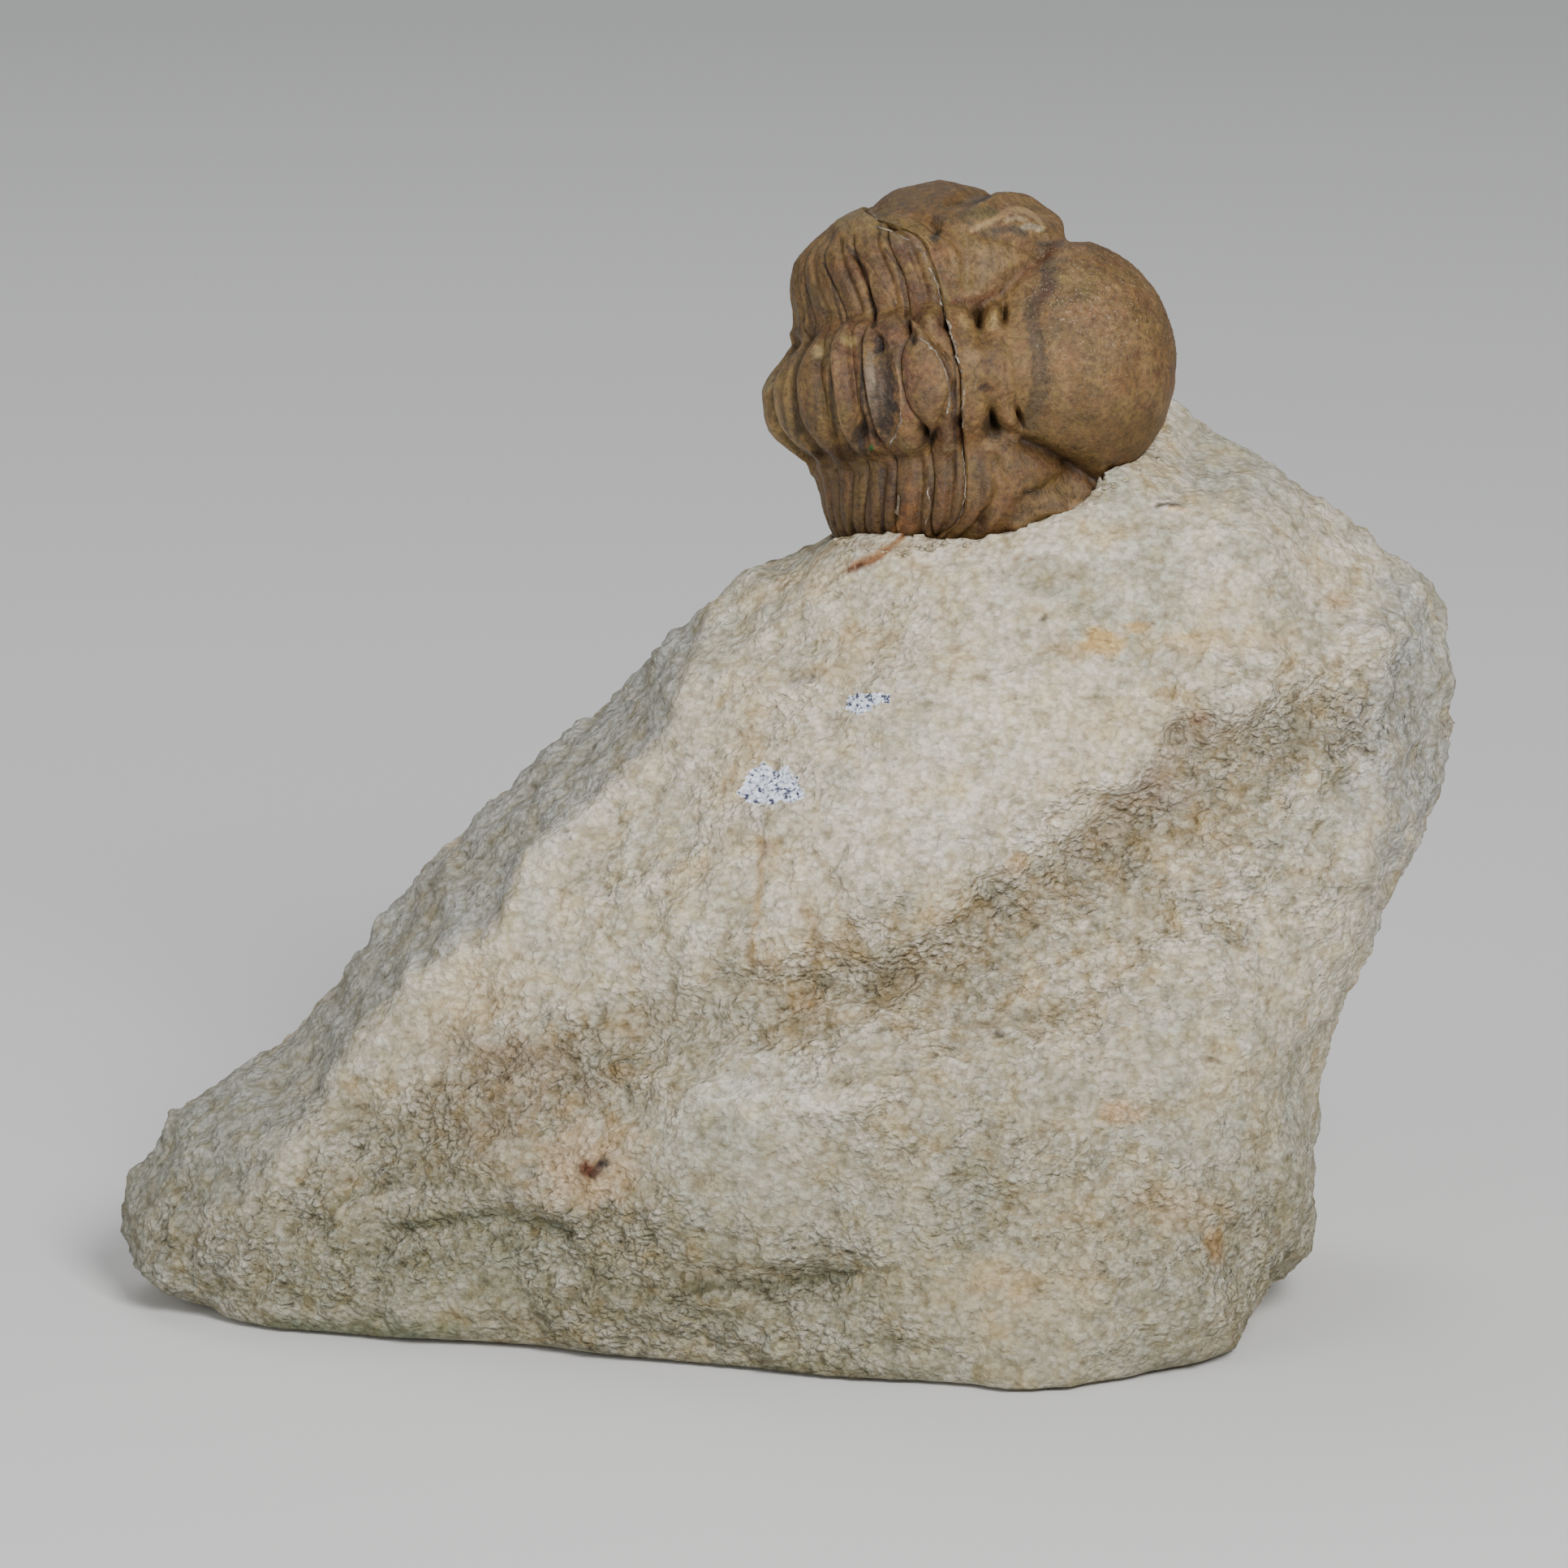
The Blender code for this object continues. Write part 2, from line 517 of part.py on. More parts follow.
def main():
    for obj in list(bpy.data.objects):
        bpy.data.objects.remove(obj)
    parts = bpy.data.collections.new("trilobite_on_matrix")
    cutters = bpy.data.collections.new("cutters")
    for collection in (parts, cutters):
        bpy.context.scene.collection.children.link(collection)
    limestone = make_material("limestone", (0.56, 0.50, 0.40), 0.95)
    fossil = make_material("fossil_calcite", (0.27, 0.17, 0.09), 0.6)
    roll = add_trilobite_frame(parts)
    add_object("head_shield", head_mesh(), parts, fossil, roll)
    for number in range(1, len(SEGMENT_EDGES) + 1):
        mesh = segment_mesh(number)
        add_object(mesh.name, mesh, parts, fossil, roll)
    add_object("tail_shield", tail_mesh(), parts, fossil, roll)
    rock = add_object("matrix_rock", rock_mesh(), parts, limestone)
    seat = add_object("trilobite_seat", envelope_mesh(), cutters, None, roll, soft_edges=False)
    seat.hide_render = True
    seat.display_type = "WIRE"
    cut = rock.modifiers.new("seat of the trilobite", "BOOLEAN")
    cut.operation = "DIFFERENCE"
    cut.object = seat


main()
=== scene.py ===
import math
import random

import bmesh
import bpy
import numpy as np
from mathutils import Matrix, Vector, noise
from mathutils.bvhtree import BVHTree


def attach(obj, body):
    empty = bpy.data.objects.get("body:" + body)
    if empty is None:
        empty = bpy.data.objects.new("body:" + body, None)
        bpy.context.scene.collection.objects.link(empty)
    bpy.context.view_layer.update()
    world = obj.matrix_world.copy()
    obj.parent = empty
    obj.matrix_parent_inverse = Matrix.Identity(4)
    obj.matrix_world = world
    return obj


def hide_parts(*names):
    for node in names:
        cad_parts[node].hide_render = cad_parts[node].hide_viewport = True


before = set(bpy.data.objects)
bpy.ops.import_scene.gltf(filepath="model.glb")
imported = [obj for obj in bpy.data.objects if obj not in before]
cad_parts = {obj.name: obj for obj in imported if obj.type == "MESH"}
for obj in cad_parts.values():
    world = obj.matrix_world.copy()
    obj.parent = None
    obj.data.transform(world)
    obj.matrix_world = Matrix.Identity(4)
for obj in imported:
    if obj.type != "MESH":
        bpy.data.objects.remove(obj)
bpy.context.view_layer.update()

mm = 0.001
perMetre = 1000  # millimetres

# the photo's view, the same one that the solids were laid out in
view = {
    "centre": (0.03, -0.74, 26.25),
    "tilt": math.radians(12.0),
    "distance": 450.0,
    "widthAtCentre": 77.3,
    "pixels": 25,  # to a millimetre at the object's middle
    "middle": 966,  # of the picture, in pixels
}

# where the trilobite's roll stands in that view
roll = {
    "across": 9.0,
    "up": 20.1,
    "depth": 3.5,
    "lean": math.radians(8.5),
}

viewToWorld = Matrix.Translation(view["centre"]) @ Matrix.Rotation(-view["tilt"], 4, "X")
rollToWorld = (
    viewToWorld
    @ Matrix.Translation((roll["across"], roll["depth"], roll["up"]))
    @ Matrix.Rotation(-roll["lean"], 4, "Y")
)


# small helpers, all on numpy arrays in millimetres

def smoothStep(low, high, x):
    t = np.clip((x - low) / (high - low), 0.0, 1.0)
    return t * t * (3.0 - 2.0 * t)


def bump(distance, width):
    return np.exp(-((distance / width) ** 2))


def dome(x):
    return np.sqrt(np.clip(1.0 - x * x, 0.0, 1.0))


def curveThrough(xs, ys, x):
    xs = np.asarray(xs, float)
    ys = np.asarray(ys, float)
    slopes = np.gradient(ys, xs)
    x = np.clip(x, xs[0], xs[-1])
    i = np.clip(np.searchsorted(xs, x, side="right") - 1, 0, len(xs) - 2)
    h = xs[i + 1] - xs[i]
    t = (x - xs[i]) / h
    return (
        ys[i] * (1 + 2 * t) * (1 - t) ** 2
        + slopes[i] * h * t * (1 - t) ** 2
        + ys[i + 1] * t * t * (3 - 2 * t)
        + slopes[i + 1] * h * t * t * (t - 1)
    )


# noise at each point, about -1 to 1
def cloud(points, size, octaves=3, seed=0.0):
    shift = Vector((seed * 3.1, seed * 1.7, seed * 2.3))
    return np.array([noise.fractal(Vector(p) / size + shift, 0.8, 2.0, octaves) for p in points])


# small rounded grains, one to a cell of an uneven lattice
def grains(points, spacing, sharp):
    found = [noise.voronoi(Vector(p) / spacing)[0][0] for p in points]
    return np.maximum(0.0, 1.0 - np.array(found) / sharp)


# the distance of 2D places to a line through several points
def distanceToLine(places, line):
    line = np.asarray(line, float)
    best = np.full(len(places), 1e9)
    for a, b in zip(line[:-1], line[1:]):
        t = np.clip(((places - a) @ (b - a)) / max((b - a) @ (b - a), 1e-9), 0, 1)
        best = np.minimum(best, np.hypot(*(places - a - t[:, None] * (b - a)).T))
    return best


# 1 at a spot's middle, falling off over its reach
def nearSpot(places, x, y, reach):
    return bump(np.hypot(places[:, 0] - x, places[:, 1] - y), reach)


# where points lie in the photo, in its pixels
def inPicture(points, turn=rollToWorld):
    m = np.array(viewToWorld.inverted() @ turn)
    seen = points @ m[:3, :3].T + m[:3, 3]
    nearer = view["distance"] / (view["distance"] + seen[:, 1])
    right, up = (view["pixels"] * seen[:, k] * nearer for k in (0, 2))
    return np.stack([view["middle"] + right, view["middle"] - up], 1)


# a colour picked on screen, 0 to 255, as Blender's linear colour
def sRGB(*values):
    v = np.array(values, float) / 255
    return tuple(np.where(v <= 0.04045, v / 12.92, ((v + 0.055) / 1.055) ** 2.4))


# washes laid over each other: a screen colour, and how much of it at each point
def tint(colours, *washes):
    for wash, share in washes:
        colours = colours + (np.array(sRGB(*wash)) - colours) * np.clip(share, 0, 1)[:, None]
    return colours


def plainColour(count, *colour):
    return np.tile(np.array(sRGB(*colour)), (count, 1))


# stains, painted shade and painted highlights put at places in the photo; ragged is noise that
# frays their edges.
# a line has its half width, colour and strength; a spot is x, y, half its width and height,
# red, green, blue and strength
def paint(colours, places, marks, ragged, share):
    for line, reach, colour, strength in marks["lines"]:
        away = distanceToLine(places, line) / reach + ragged * min(1.0, reach / marks["fray"])
        colours = tint(colours, (colour, strength * share * smoothStep(1.1, 0.45, away)))
    for x, y, wide, high, *colour, strength in marks["spots"]:
        away = np.hypot((places[:, 0] - x) / wide, (places[:, 1] - y) / high)
        away = away + ragged * min(1.0, (wide + high) / 2 / marks["fray"])
        colours = tint(colours, (colour, strength * share * smoothStep(1.25, 0.45, away)))
    return colours


# hollows (below zero) and welts at places in the photo: line, half width in pixels, height
def carve(relief, places, grooves, share):
    for line, reach, height in grooves:
        relief += height * bump(distanceToLine(places, line), reach) * share


def setColours(mesh, colours):
    layer = mesh.color_attributes.new("tone", "FLOAT_COLOR", "POINT")
    rgba = np.ones((len(mesh.vertices), 4), np.float32)
    # vertices past the given colours, the walls drawn in behind a plate's rim, get dark brown as
    # painted shade in the cracks
    rgba[:, :3] = np.array(sRGB(70, 52, 36))
    rgba[: len(colours), :3] = colours
    layer.data.foreach_set("color", rgba.ravel())


def setValues(mesh, name, values):
    layer = mesh.attributes.new(name, "FLOAT", "POINT")
    padded = np.zeros(len(mesh.vertices), np.float32)
    padded[: len(values)] = values
    layer.data.foreach_set("value", padded)


# a bmesh grid and two numbers for each vertex, 0 to 1 across and up
def gridWithPlaces(rows, columns):
    bm = bmesh.new()
    bmesh.ops.create_grid(bm, x_segments=rows, y_segments=columns, size=0.5)
    places = np.array([v.co[:2] for v in bm.verts]) + 0.5
    return bm, places[:, 0], places[:, 1]


def moveVerts(bm, points):
    for vert, place in zip(bm.verts, points):
        vert.co = place


# draws the open rim of a sheet in towards the roll's middle, ring by ring, then shuts it
def closeBehind(bm, depths):
    rim = [e for e in bm.edges if e.is_boundary]
    for depth in depths:
        made = bmesh.ops.extrude_edge_only(bm, edges=rim)["geom"]
        for vert in [g for g in made if isinstance(g, bmesh.types.BMVert)]:
            vert.co = vert.co * depth
        rim = [g for g in made if isinstance(g, bmesh.types.BMEdge) and g.is_boundary]
    verts = list({v for e in rim for v in e.verts})
    middle = sum((v.co for v in verts), Vector()) / len(verts)
    bmesh.ops.pointmerge(bm, verts=verts, merge_co=middle)


def meshOf(bm, name):
    mesh = bpy.data.meshes.new(name)
    bm.to_mesh(mesh)
    bm.free()
    return mesh


def addObject(name, data):
    made = bpy.data.objects.new(name, data)
    bpy.context.scene.collection.objects.link(made)
    return made


# puts a bmesh in millimetres into the scene, in place of the CAD nodes
def finishPiece(bm, name, material, nodes, turn=rollToWorld):
    bmesh.ops.transform(bm, matrix=Matrix.Scale(mm, 4) @ turn, verts=bm.verts)
    bmesh.ops.recalc_face_normals(bm, faces=bm.faces)
    piece = addObject(name, meshOf(bm, name))
    piece.data.materials.append(material)
    piece.data.shade_smooth()
    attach(piece, "root")
    if nodes:
        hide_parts(*nodes)
    return piece


# materials

def newMaterial(name):
    material = bpy.data.materials.new(name)
    material.use_nodes = True
    return material, material.node_tree, material.node_tree.nodes["Principled BSDF"]


# links a node's sockets, or sets them
def feed(tree, node, feeds):
    for key, value in feeds.items():
        if isinstance(value, bpy.types.NodeSocket):
            tree.links.new(value, node.inputs[key])
        else:
            node.inputs[key].default_value = value


def addNode(tree, kind, feeds, **settings):
    node = tree.nodes.new("ShaderNode" + kind)
    for key, value in settings.items():
        setattr(node, key, value)
    feed(tree, node, feeds)
    return node


def objectPlace(tree):
    return addNode(tree, "TexCoord", {}).outputs["Object"]


def attributeNode(tree, name):
    return addNode(tree, "Attribute", {}, attribute_name=name).outputs


def noiseNode(tree, vector, scale, detail, roughness=0.6):
    feeds = {"Scale": scale, "Detail": detail, "Roughness": roughness, "Vector": vector}
    return addNode(tree, "TexNoise", feeds).outputs["Fac"]


def mixNode(tree, kind, factor, a, b):
    feeds = {"Factor": factor, "A": a, "B": b}
    return addNode(tree, "Mix", feeds, data_type="RGBA", blend_type=kind).outputs["Result"]


# each stop is its position and a grey, or its position, red, green and blue
def rampNode(tree, source, *stops):
    ramp = addNode(tree, "ValToRGB", {"Fac": source})
    elements = ramp.color_ramp.elements
    shades = [(position, (tone * 3)[:3] + [1]) for position, *tone in stops]
    elements[0].position, elements[0].color = shades[0]
    elements[1].position, elements[1].color = shades[-1]
    for position, colour in shades[1:-1]:
        elements.new(position).color = colour
    return ramp.outputs["Color"]


def mathNode(tree, kind, *values):
    return addNode(tree, "Math", dict(enumerate(values)), operation=kind).outputs["Value"]


# coordinates that noise pushes out of line
def bentVector(tree, vector, scale, reach):
    push = addNode(tree, "TexNoise", {"Scale": scale, "Vector": vector}).outputs["Color"]
    feeds = {0: push, 1: (reach, reach, reach), 2: vector}
    return addNode(tree, "VectorMath", feeds, operation="MULTIPLY_ADD").outputs["Vector"]


# rounded grains side by side: 1 on top of each, 0 in the gaps
def grainNode(tree, vector, scale):
    away = addNode(tree, "TexVoronoi", {"Scale": scale, "Vector": vector}).outputs["Distance"]
    return rampNode(tree, away, (0.0, 1.0), (0.3, 0.8), (0.5, 0.35), (0.66, 0.0))


def bumpNode(tree, height, distance, strength):
    feeds = {"Strength": strength, "Distance": distance, "Height": height}
    return addNode(tree, "Bump", feeds).outputs["Normal"]


fossilFinish = {
    "gain": (0.522, 0.48, 0.368, 1),
    "specular": 0.4,
    "roughness": (0.38, 0.68),
    "mottleSize": 1100.0,
    "hueSize": 770.0,
    "grainSize": 3600.0,
    "fineSize": 9000.0,
    "paleGrainGlint": (0.5, 0.4, 0.27, 1),
    "bumpHeight": 0.00018,
}


def makeFossilMaterial():
    material, tree, shader = newMaterial("fossilCalcite")
    where = objectPlace(tree)
    mottle = noiseNode(tree, where, fossilFinish["mottleSize"], 5)
    grain = noiseNode(tree, where, fossilFinish["grainSize"], 4, 0.65)
    fine = noiseNode(tree, where, fossilFinish["fineSize"], 3)
    hue = noiseNode(tree, where, fossilFinish["hueSize"], 4)
    colour = attributeNode(tree, "tone")["Color"]
    for pattern in (
        rampNode(tree, mottle, (0.28, 0.62), (0.5, 1.0), (0.72, 1.26)),
        rampNode(tree, hue, (0.32, 1.06, 0.93, 0.93), (0.5, 1.0), (0.68, 0.96, 1.0, 0.84)),
        rampNode(tree, grain, (0.3, 0.52, 0.48, 0.45), (0.5, 1.0), (0.7, 1.38, 1.34, 1.22)),
        fossilFinish["gain"],
    ):
        colour = mixNode(tree, "MULTIPLY", 1.0, colour, pattern)
    # fine pale grains where the shell kept them, partly painted glints, most on the upper frontal
    # lobe
    pale = rampNode(tree, fine, (0.6, 0.0), (0.7, 1.0))
    share = mathNode(tree, "MULTIPLY", pale, attributeNode(tree, "speckleGlint")["Fac"])
    colour = mixNode(tree, "MIX", share, colour, fossilFinish["paleGrainGlint"])
    low, high = fossilFinish["roughness"]
    rough = addNode(tree, "MapRange", {"Value": mottle, "To Min": low, "To Max": high})
    height = mathNode(tree, "MULTIPLY_ADD", fine, 0.35, grain)
    feed(tree, shader, {
        "Base Color": colour,
        "Roughness": rough.outputs["Result"],
        "Specular IOR Level": fossilFinish["specular"],
        "Normal": bumpNode(tree, height, fossilFinish["bumpHeight"], 0.6),
    })
    return material


stoneFinish = {
    "gain": (1.08, 1.08, 1.08, 1),
    "roughness": 0.9,
    "specular": 0.2,
    "bedding": (0.9, 1.0, 1.15),  # the grain lies in short level streaks
    "beddingDip": math.radians(-12),
    "mottleSize": 420.0,
    "stainSize": 714.0,
    "clotSize": 1600.0,
    "fineSize": 4200.0,
    "grains": (2500.0, 4300.0),  # two sizes of rounded grain
    "bend": 0.0004,  # how far the grains are pushed out of line
    "bumpHeight": 0.00024,
}


def makeStoneMaterial():
    material, tree, shader = newMaterial("pittedLimestone")
    where = objectPlace(tree)
    dip = (0, stoneFinish["beddingDip"], 0)
    laid = addNode(tree, "Mapping", {
        "Vector": where, "Scale": stoneFinish["bedding"], "Rotation": dip,
    })
    level = laid.outputs["Vector"]
    coarse = attributeNode(tree, "coarse")["Fac"]
    mottle = noiseNode(tree, where, stoneFinish["mottleSize"], 6, 0.65)
    stain = noiseNode(tree, where, stoneFinish["stainSize"], 5)
    clot = noiseNode(tree, level, stoneFinish["clotSize"], 4)
    fine = noiseNode(tree, level, stoneFinish["fineSize"], 3)
    bent = bentVector(tree, level, stoneFinish["clotSize"], stoneFinish["bend"])
    big, small = (grainNode(tree, bent, scale) for scale in stoneFinish["grains"])
    strong = mathNode(tree, "MULTIPLY_ADD", coarse, 0.35, 0.65)
    colour = attributeNode(tree, "tone")["Color"]
    for share, source, *stops in (
        (1.0, mottle,
         (0.28, 0.72, 0.7, 0.63), (0.42, 0.93, 0.91, 0.86), (0.55, 1.03), (0.75, 1.12)),
        (0.8, stain,
         (0.3, 1.04, 1.02, 1.0), (0.52, 1.0), (0.6, 0.98, 0.93, 0.8), (0.72, 0.88, 0.77, 0.56)),
        (strong, clot, (0.3, 0.42, 0.4, 0.34), (0.41, 0.82, 0.81, 0.77), (0.53, 1.04), (0.72, 1.2)),
        (strong, fine, (0.3, 0.7), (0.5, 1.0), (0.7, 1.18)),
        # darker in the gaps between grains as painted shade, lighter on their tops as painted
        # highlights
        (strong, big, (0.0, 0.7, 0.66, 0.58), (0.3, 0.96), (0.8, 1.1)),
    ):
        colour = mixNode(tree, "MULTIPLY", share, colour, rampNode(tree, source, *stops))
    colour = mixNode(tree, "MULTIPLY", 1.0, colour, stoneFinish["gain"])
    # fresh blue white stone with dark specks, in the chips
    shy = mathNode(tree, "SUBTRACT", attributeNode(tree, "chip")["Fac"], 0.85)
    inChip = rampNode(
        tree, mathNode(tree, "MULTIPLY_ADD", clot, 1.6, shy), (0.47, 0.0), (0.51, 1.0),
    )
    fresh = rampNode(
        tree, fine, (0.4, 0.06, 0.065, 0.11), (0.46, 0.5, 0.54, 0.66), (0.54, 0.84, 0.88, 0.98),
    )
    colour = mixNode(tree, "MIX", inChip, colour, fresh)
    patchy = rampNode(tree, mottle, (0.4, 0.25), (0.58, 1.0))
    height = mathNode(tree, "MULTIPLY_ADD", small, 0.45, big)
    height = mathNode(tree, "MULTIPLY", height, patchy)
    deeper = mathNode(tree, "MULTIPLY_ADD", coarse, 0.9, 0.35)
    height = mathNode(tree, "MULTIPLY", height, deeper)
    height = mathNode(tree, "MULTIPLY_ADD", clot, 0.8, height)
    height = mathNode(tree, "MULTIPLY_ADD", fine, 0.3, height)
    feed(tree, shader, {
        "Base Color": colour,
        "Roughness": stoneFinish["roughness"],
        "Specular IOR Level": stoneFinish["specular"],
        "Normal": bumpNode(tree, height, stoneFinish["bumpHeight"], 1.0),
    })
    return material


calciteFinish = {"colour": (0.47, 0.42, 0.35), "roughness": 0.4, "patchSize": 1500.0}


def makeCalciteMaterial():
    material, tree, shader = newMaterial("whiteCalcite")
    patch = noiseNode(tree, objectPlace(tree), calciteFinish["patchSize"], 3)
    colour = rampNode(
        tree, patch,
        (0.4, 0.07, 0.05, 0.035), (0.53, 0.2, 0.16, 0.12), (0.66, *calciteFinish["colour"]),
    )
    feed(tree, shader, {"Base Color": colour, "Roughness": calciteFinish["roughness"]})
    return material


fossilMaterial = makeFossilMaterial()
stoneMaterial = makeStoneMaterial()
calciteMaterial = makeCalciteMaterial()
print("materials made")

# the trilobite's shape, in its own frame: x forwards, y away from the viewer, w along the roll

shape = {
    "thorax": [
        (0.0, 10.15), (1.2, 10.0), (2.2, 9.45), (3.0, 8.6), (3.6, 8.0), (4.3, 7.85), (5.6, 7.8),
        (6.9, 7.35), (7.75, 6.4), (8.5, 4.9), (8.95, 3.3), (9.4, 0.0),
    ],
    "cheek": [
        (0.0, 7.9), (2.2, 7.9), (4.3, 7.85), (5.6, 7.8), (6.9, 7.4), (7.9, 6.4), (8.9, 4.8),
        (9.6, 3.0), (9.9, 0.0),
    ],
    "rim": [(0.0, 9.4), (4.0, 8.0), (6.0, 6.1), (8.0, 4.1), (9.2, 2.2), (9.9, 0.0)],
    "frontalLobe": ((4.9, -3.4, 0.0), (5.5, 5.6, 6.1)),
    "rearGlabella": ((0.5, -4.5, 0.0), (5.0, 5.2, 3.7)),
    "blend": 30,
    "headRear": [
        (1.7, 0), (3.4, 9), (5.1, 23.4), (5.9, 30.5), (7.6, 37.3), (11.5, 43.8), (23.4, 50),
        (37, 55.5), (54, 62.5), (80, 67),
    ],
    "headFront": [
        (-98, 0), (-98, 14), (-98, 25), (-99, 36), (-101, 46), (-110, 60), (-135, 70), (-195, 74),
        (-280, 67),
    ],
    "edgeStations": [0.0, 1.3, 2.5, 3.4, 5.2, 6.8, 8.0, 9.0],
    "segmentEdges": [
        [19.0, 18.3, 15.4, 17.2, 18.0, 22.5, 26.0, 29.0],
        [29.7, 30.0, 30.8, 31.2, 33.3, 38.0, 42.0, 45.0],
        [40.2, 41.0, 42.7, 44.0, 47.4, 54.0, 57.0, 60.0],
        [56.5, 56.8, 57.6, 61.0, 64.6, 69.0, 72.0, 75.0],
        [74.0, 74.4, 75.5, 77.5, 80.0, 84.0, 87.0, 90.0],
        [90.0, 90.4, 91.5, 93.5, 96.0, 99.0, 101.0, 103.0],
        [106.5, 106.9, 108.0, 110.0, 112.0, 114.5, 116.5, 118.0],
        [123.0, 123.4, 124.5, 126.0, 128.0, 130.0, 131.5, 133.0],
        [139.5, 139.9, 141.0, 142.5, 144.0, 145.5, 146.5, 147.5],
        [155.5, 155.9, 156.8, 158.0, 159.2, 160.5, 161.5, 162.5],
        [171.0, 171.4, 172.2, 173.2, 174.0, 175.0, 175.8, 176.5],
    ],
    "midlineBend": 0.055,  # rounds the head's rear edge where it crosses the midline
    "tailEnd": 262.0,
}


def profileRadius(profile, latitude):
    points = np.array(profile)
    latitudes = np.arctan2(points[:, 0], points[:, 1])
    return curveThrough(latitudes, np.hypot(points[:, 0], points[:, 1]), np.abs(latitude))


def direction(angle, latitude):
    return np.stack(
        [-np.sin(angle) * np.cos(latitude), -np.cos(angle) * np.cos(latitude), np.sin(latitude)], -1
    )


def ellipsoidRadius(towards, centre, radii):
    radii = np.array(radii)
    centre = np.array(centre)
    a = ((towards / radii) ** 2).sum(-1)
    b = (towards * centre / radii**2).sum(-1)
    c = ((centre / radii) ** 2).sum() - 1.0
    inside = b * b - a * c
    return np.where((inside > 0) & (b > 0), (b + np.sqrt(np.maximum(inside, 0))) / a, 0.0)


def towardsFront(angle):
    return smoothStep(0.0, 1.0, -np.sin(angle))


def thoraxRadius(angle, latitude):
    back = profileRadius(shape["thorax"], latitude)
    rim = profileRadius(shape["rim"], latitude)
    return back + (rim - back) * towardsFront(angle) * (np.cos(angle) < 0.5)


def edgeLatitude(angle):
    rear = shape["headRear"][4:]
    front = [(a % 360, latitude) for a, latitude in shape["headFront"][-2:1:-1]]
    rows = np.array(rear + [(130, 71)] + front, float)
    return np.radians(curveThrough(np.radians(rows[:, 0]), rows[:, 1], angle))


def rearEdgeOf(segment, latitude):
    if segment == 0:
        rows = np.array(shape["headRear"], float)
        rounded = np.hypot(latitude, shape["midlineBend"])
        return np.radians(curveThrough(np.radians(rows[:, 1]), rows[:, 0], rounded))
    across = profileRadius(shape["thorax"], latitude) * np.sin(np.abs(latitude))
    edge = shape["segmentEdges"][segment - 1]
    return np.radians(curveThrough(shape["edgeStations"], edge, across))


# head shield

head = {
    "grid": 300,
    "axialFurrow": 0.5,
    "occipitalFurrow": 0.3,
    "slit": 0.8,
    "slitsAt": [(0.9, 2.6, 1.0), (2.2, 2.6, 0.95)],  # forwards, across and share of the depth
    "sideLobes": [(1.55, 2.75, 0.46, 0.42), (0.1, 3.0, 0.45, 0.34), (1.5, 1.6, 0.7, 0.07)],
    "borderLine": ([0.0, 3.6, 6.5, 7.7, 8.85, 10.0], [-0.3, -0.75, -0.85, -2.1, -3.7, -5.5]),
    "borderFurrow": 0.36,
    "eyeHeight": 0.72,
    "eyeReach": (2.55, 1.5),
    "lipHeight": 0.08,
    "grainSize": 0.27,
    "grainHeight": 0.05,
    "grooves": [
        ([(1168, 250), (1180, 248), (1193, 249), (1207, 245), (1219, 240)], 4.5, -0.17),
        ([(1262, 546), (1290, 556), (1309, 568), (1342, 588)], 6.0, -0.34),
        ([(1262, 608), (1276, 606), (1296, 609)], 2.4, -0.12),
        ([(1228, 648), (1262, 634), (1300, 618), (1330, 600)], 6.0, -0.1),
        ([(1278, 297), (1296, 296), (1314, 298)], 6.0, -0.16),
        ([(1150, 284), (1151, 294)], 7.0, -0.16),
        ([(1285, 333), (1293, 350), (1272, 376), (1277, 406), (1281, 440), (1280, 475),
          (1273, 515)], 10.0, -0.07),
        ([(1208, 560), (1211, 590), (1209, 640)], 8.0, -0.12),
        ([(1236, 560), (1228, 600), (1222, 648)], 10.0, 0.06),
        ([(1203, 470), (1216, 476), (1226, 480)], 8.0, -0.06),
        ([(1308, 622), (1324, 617), (1336, 606)], 15.0, 0.6),
    ],
}

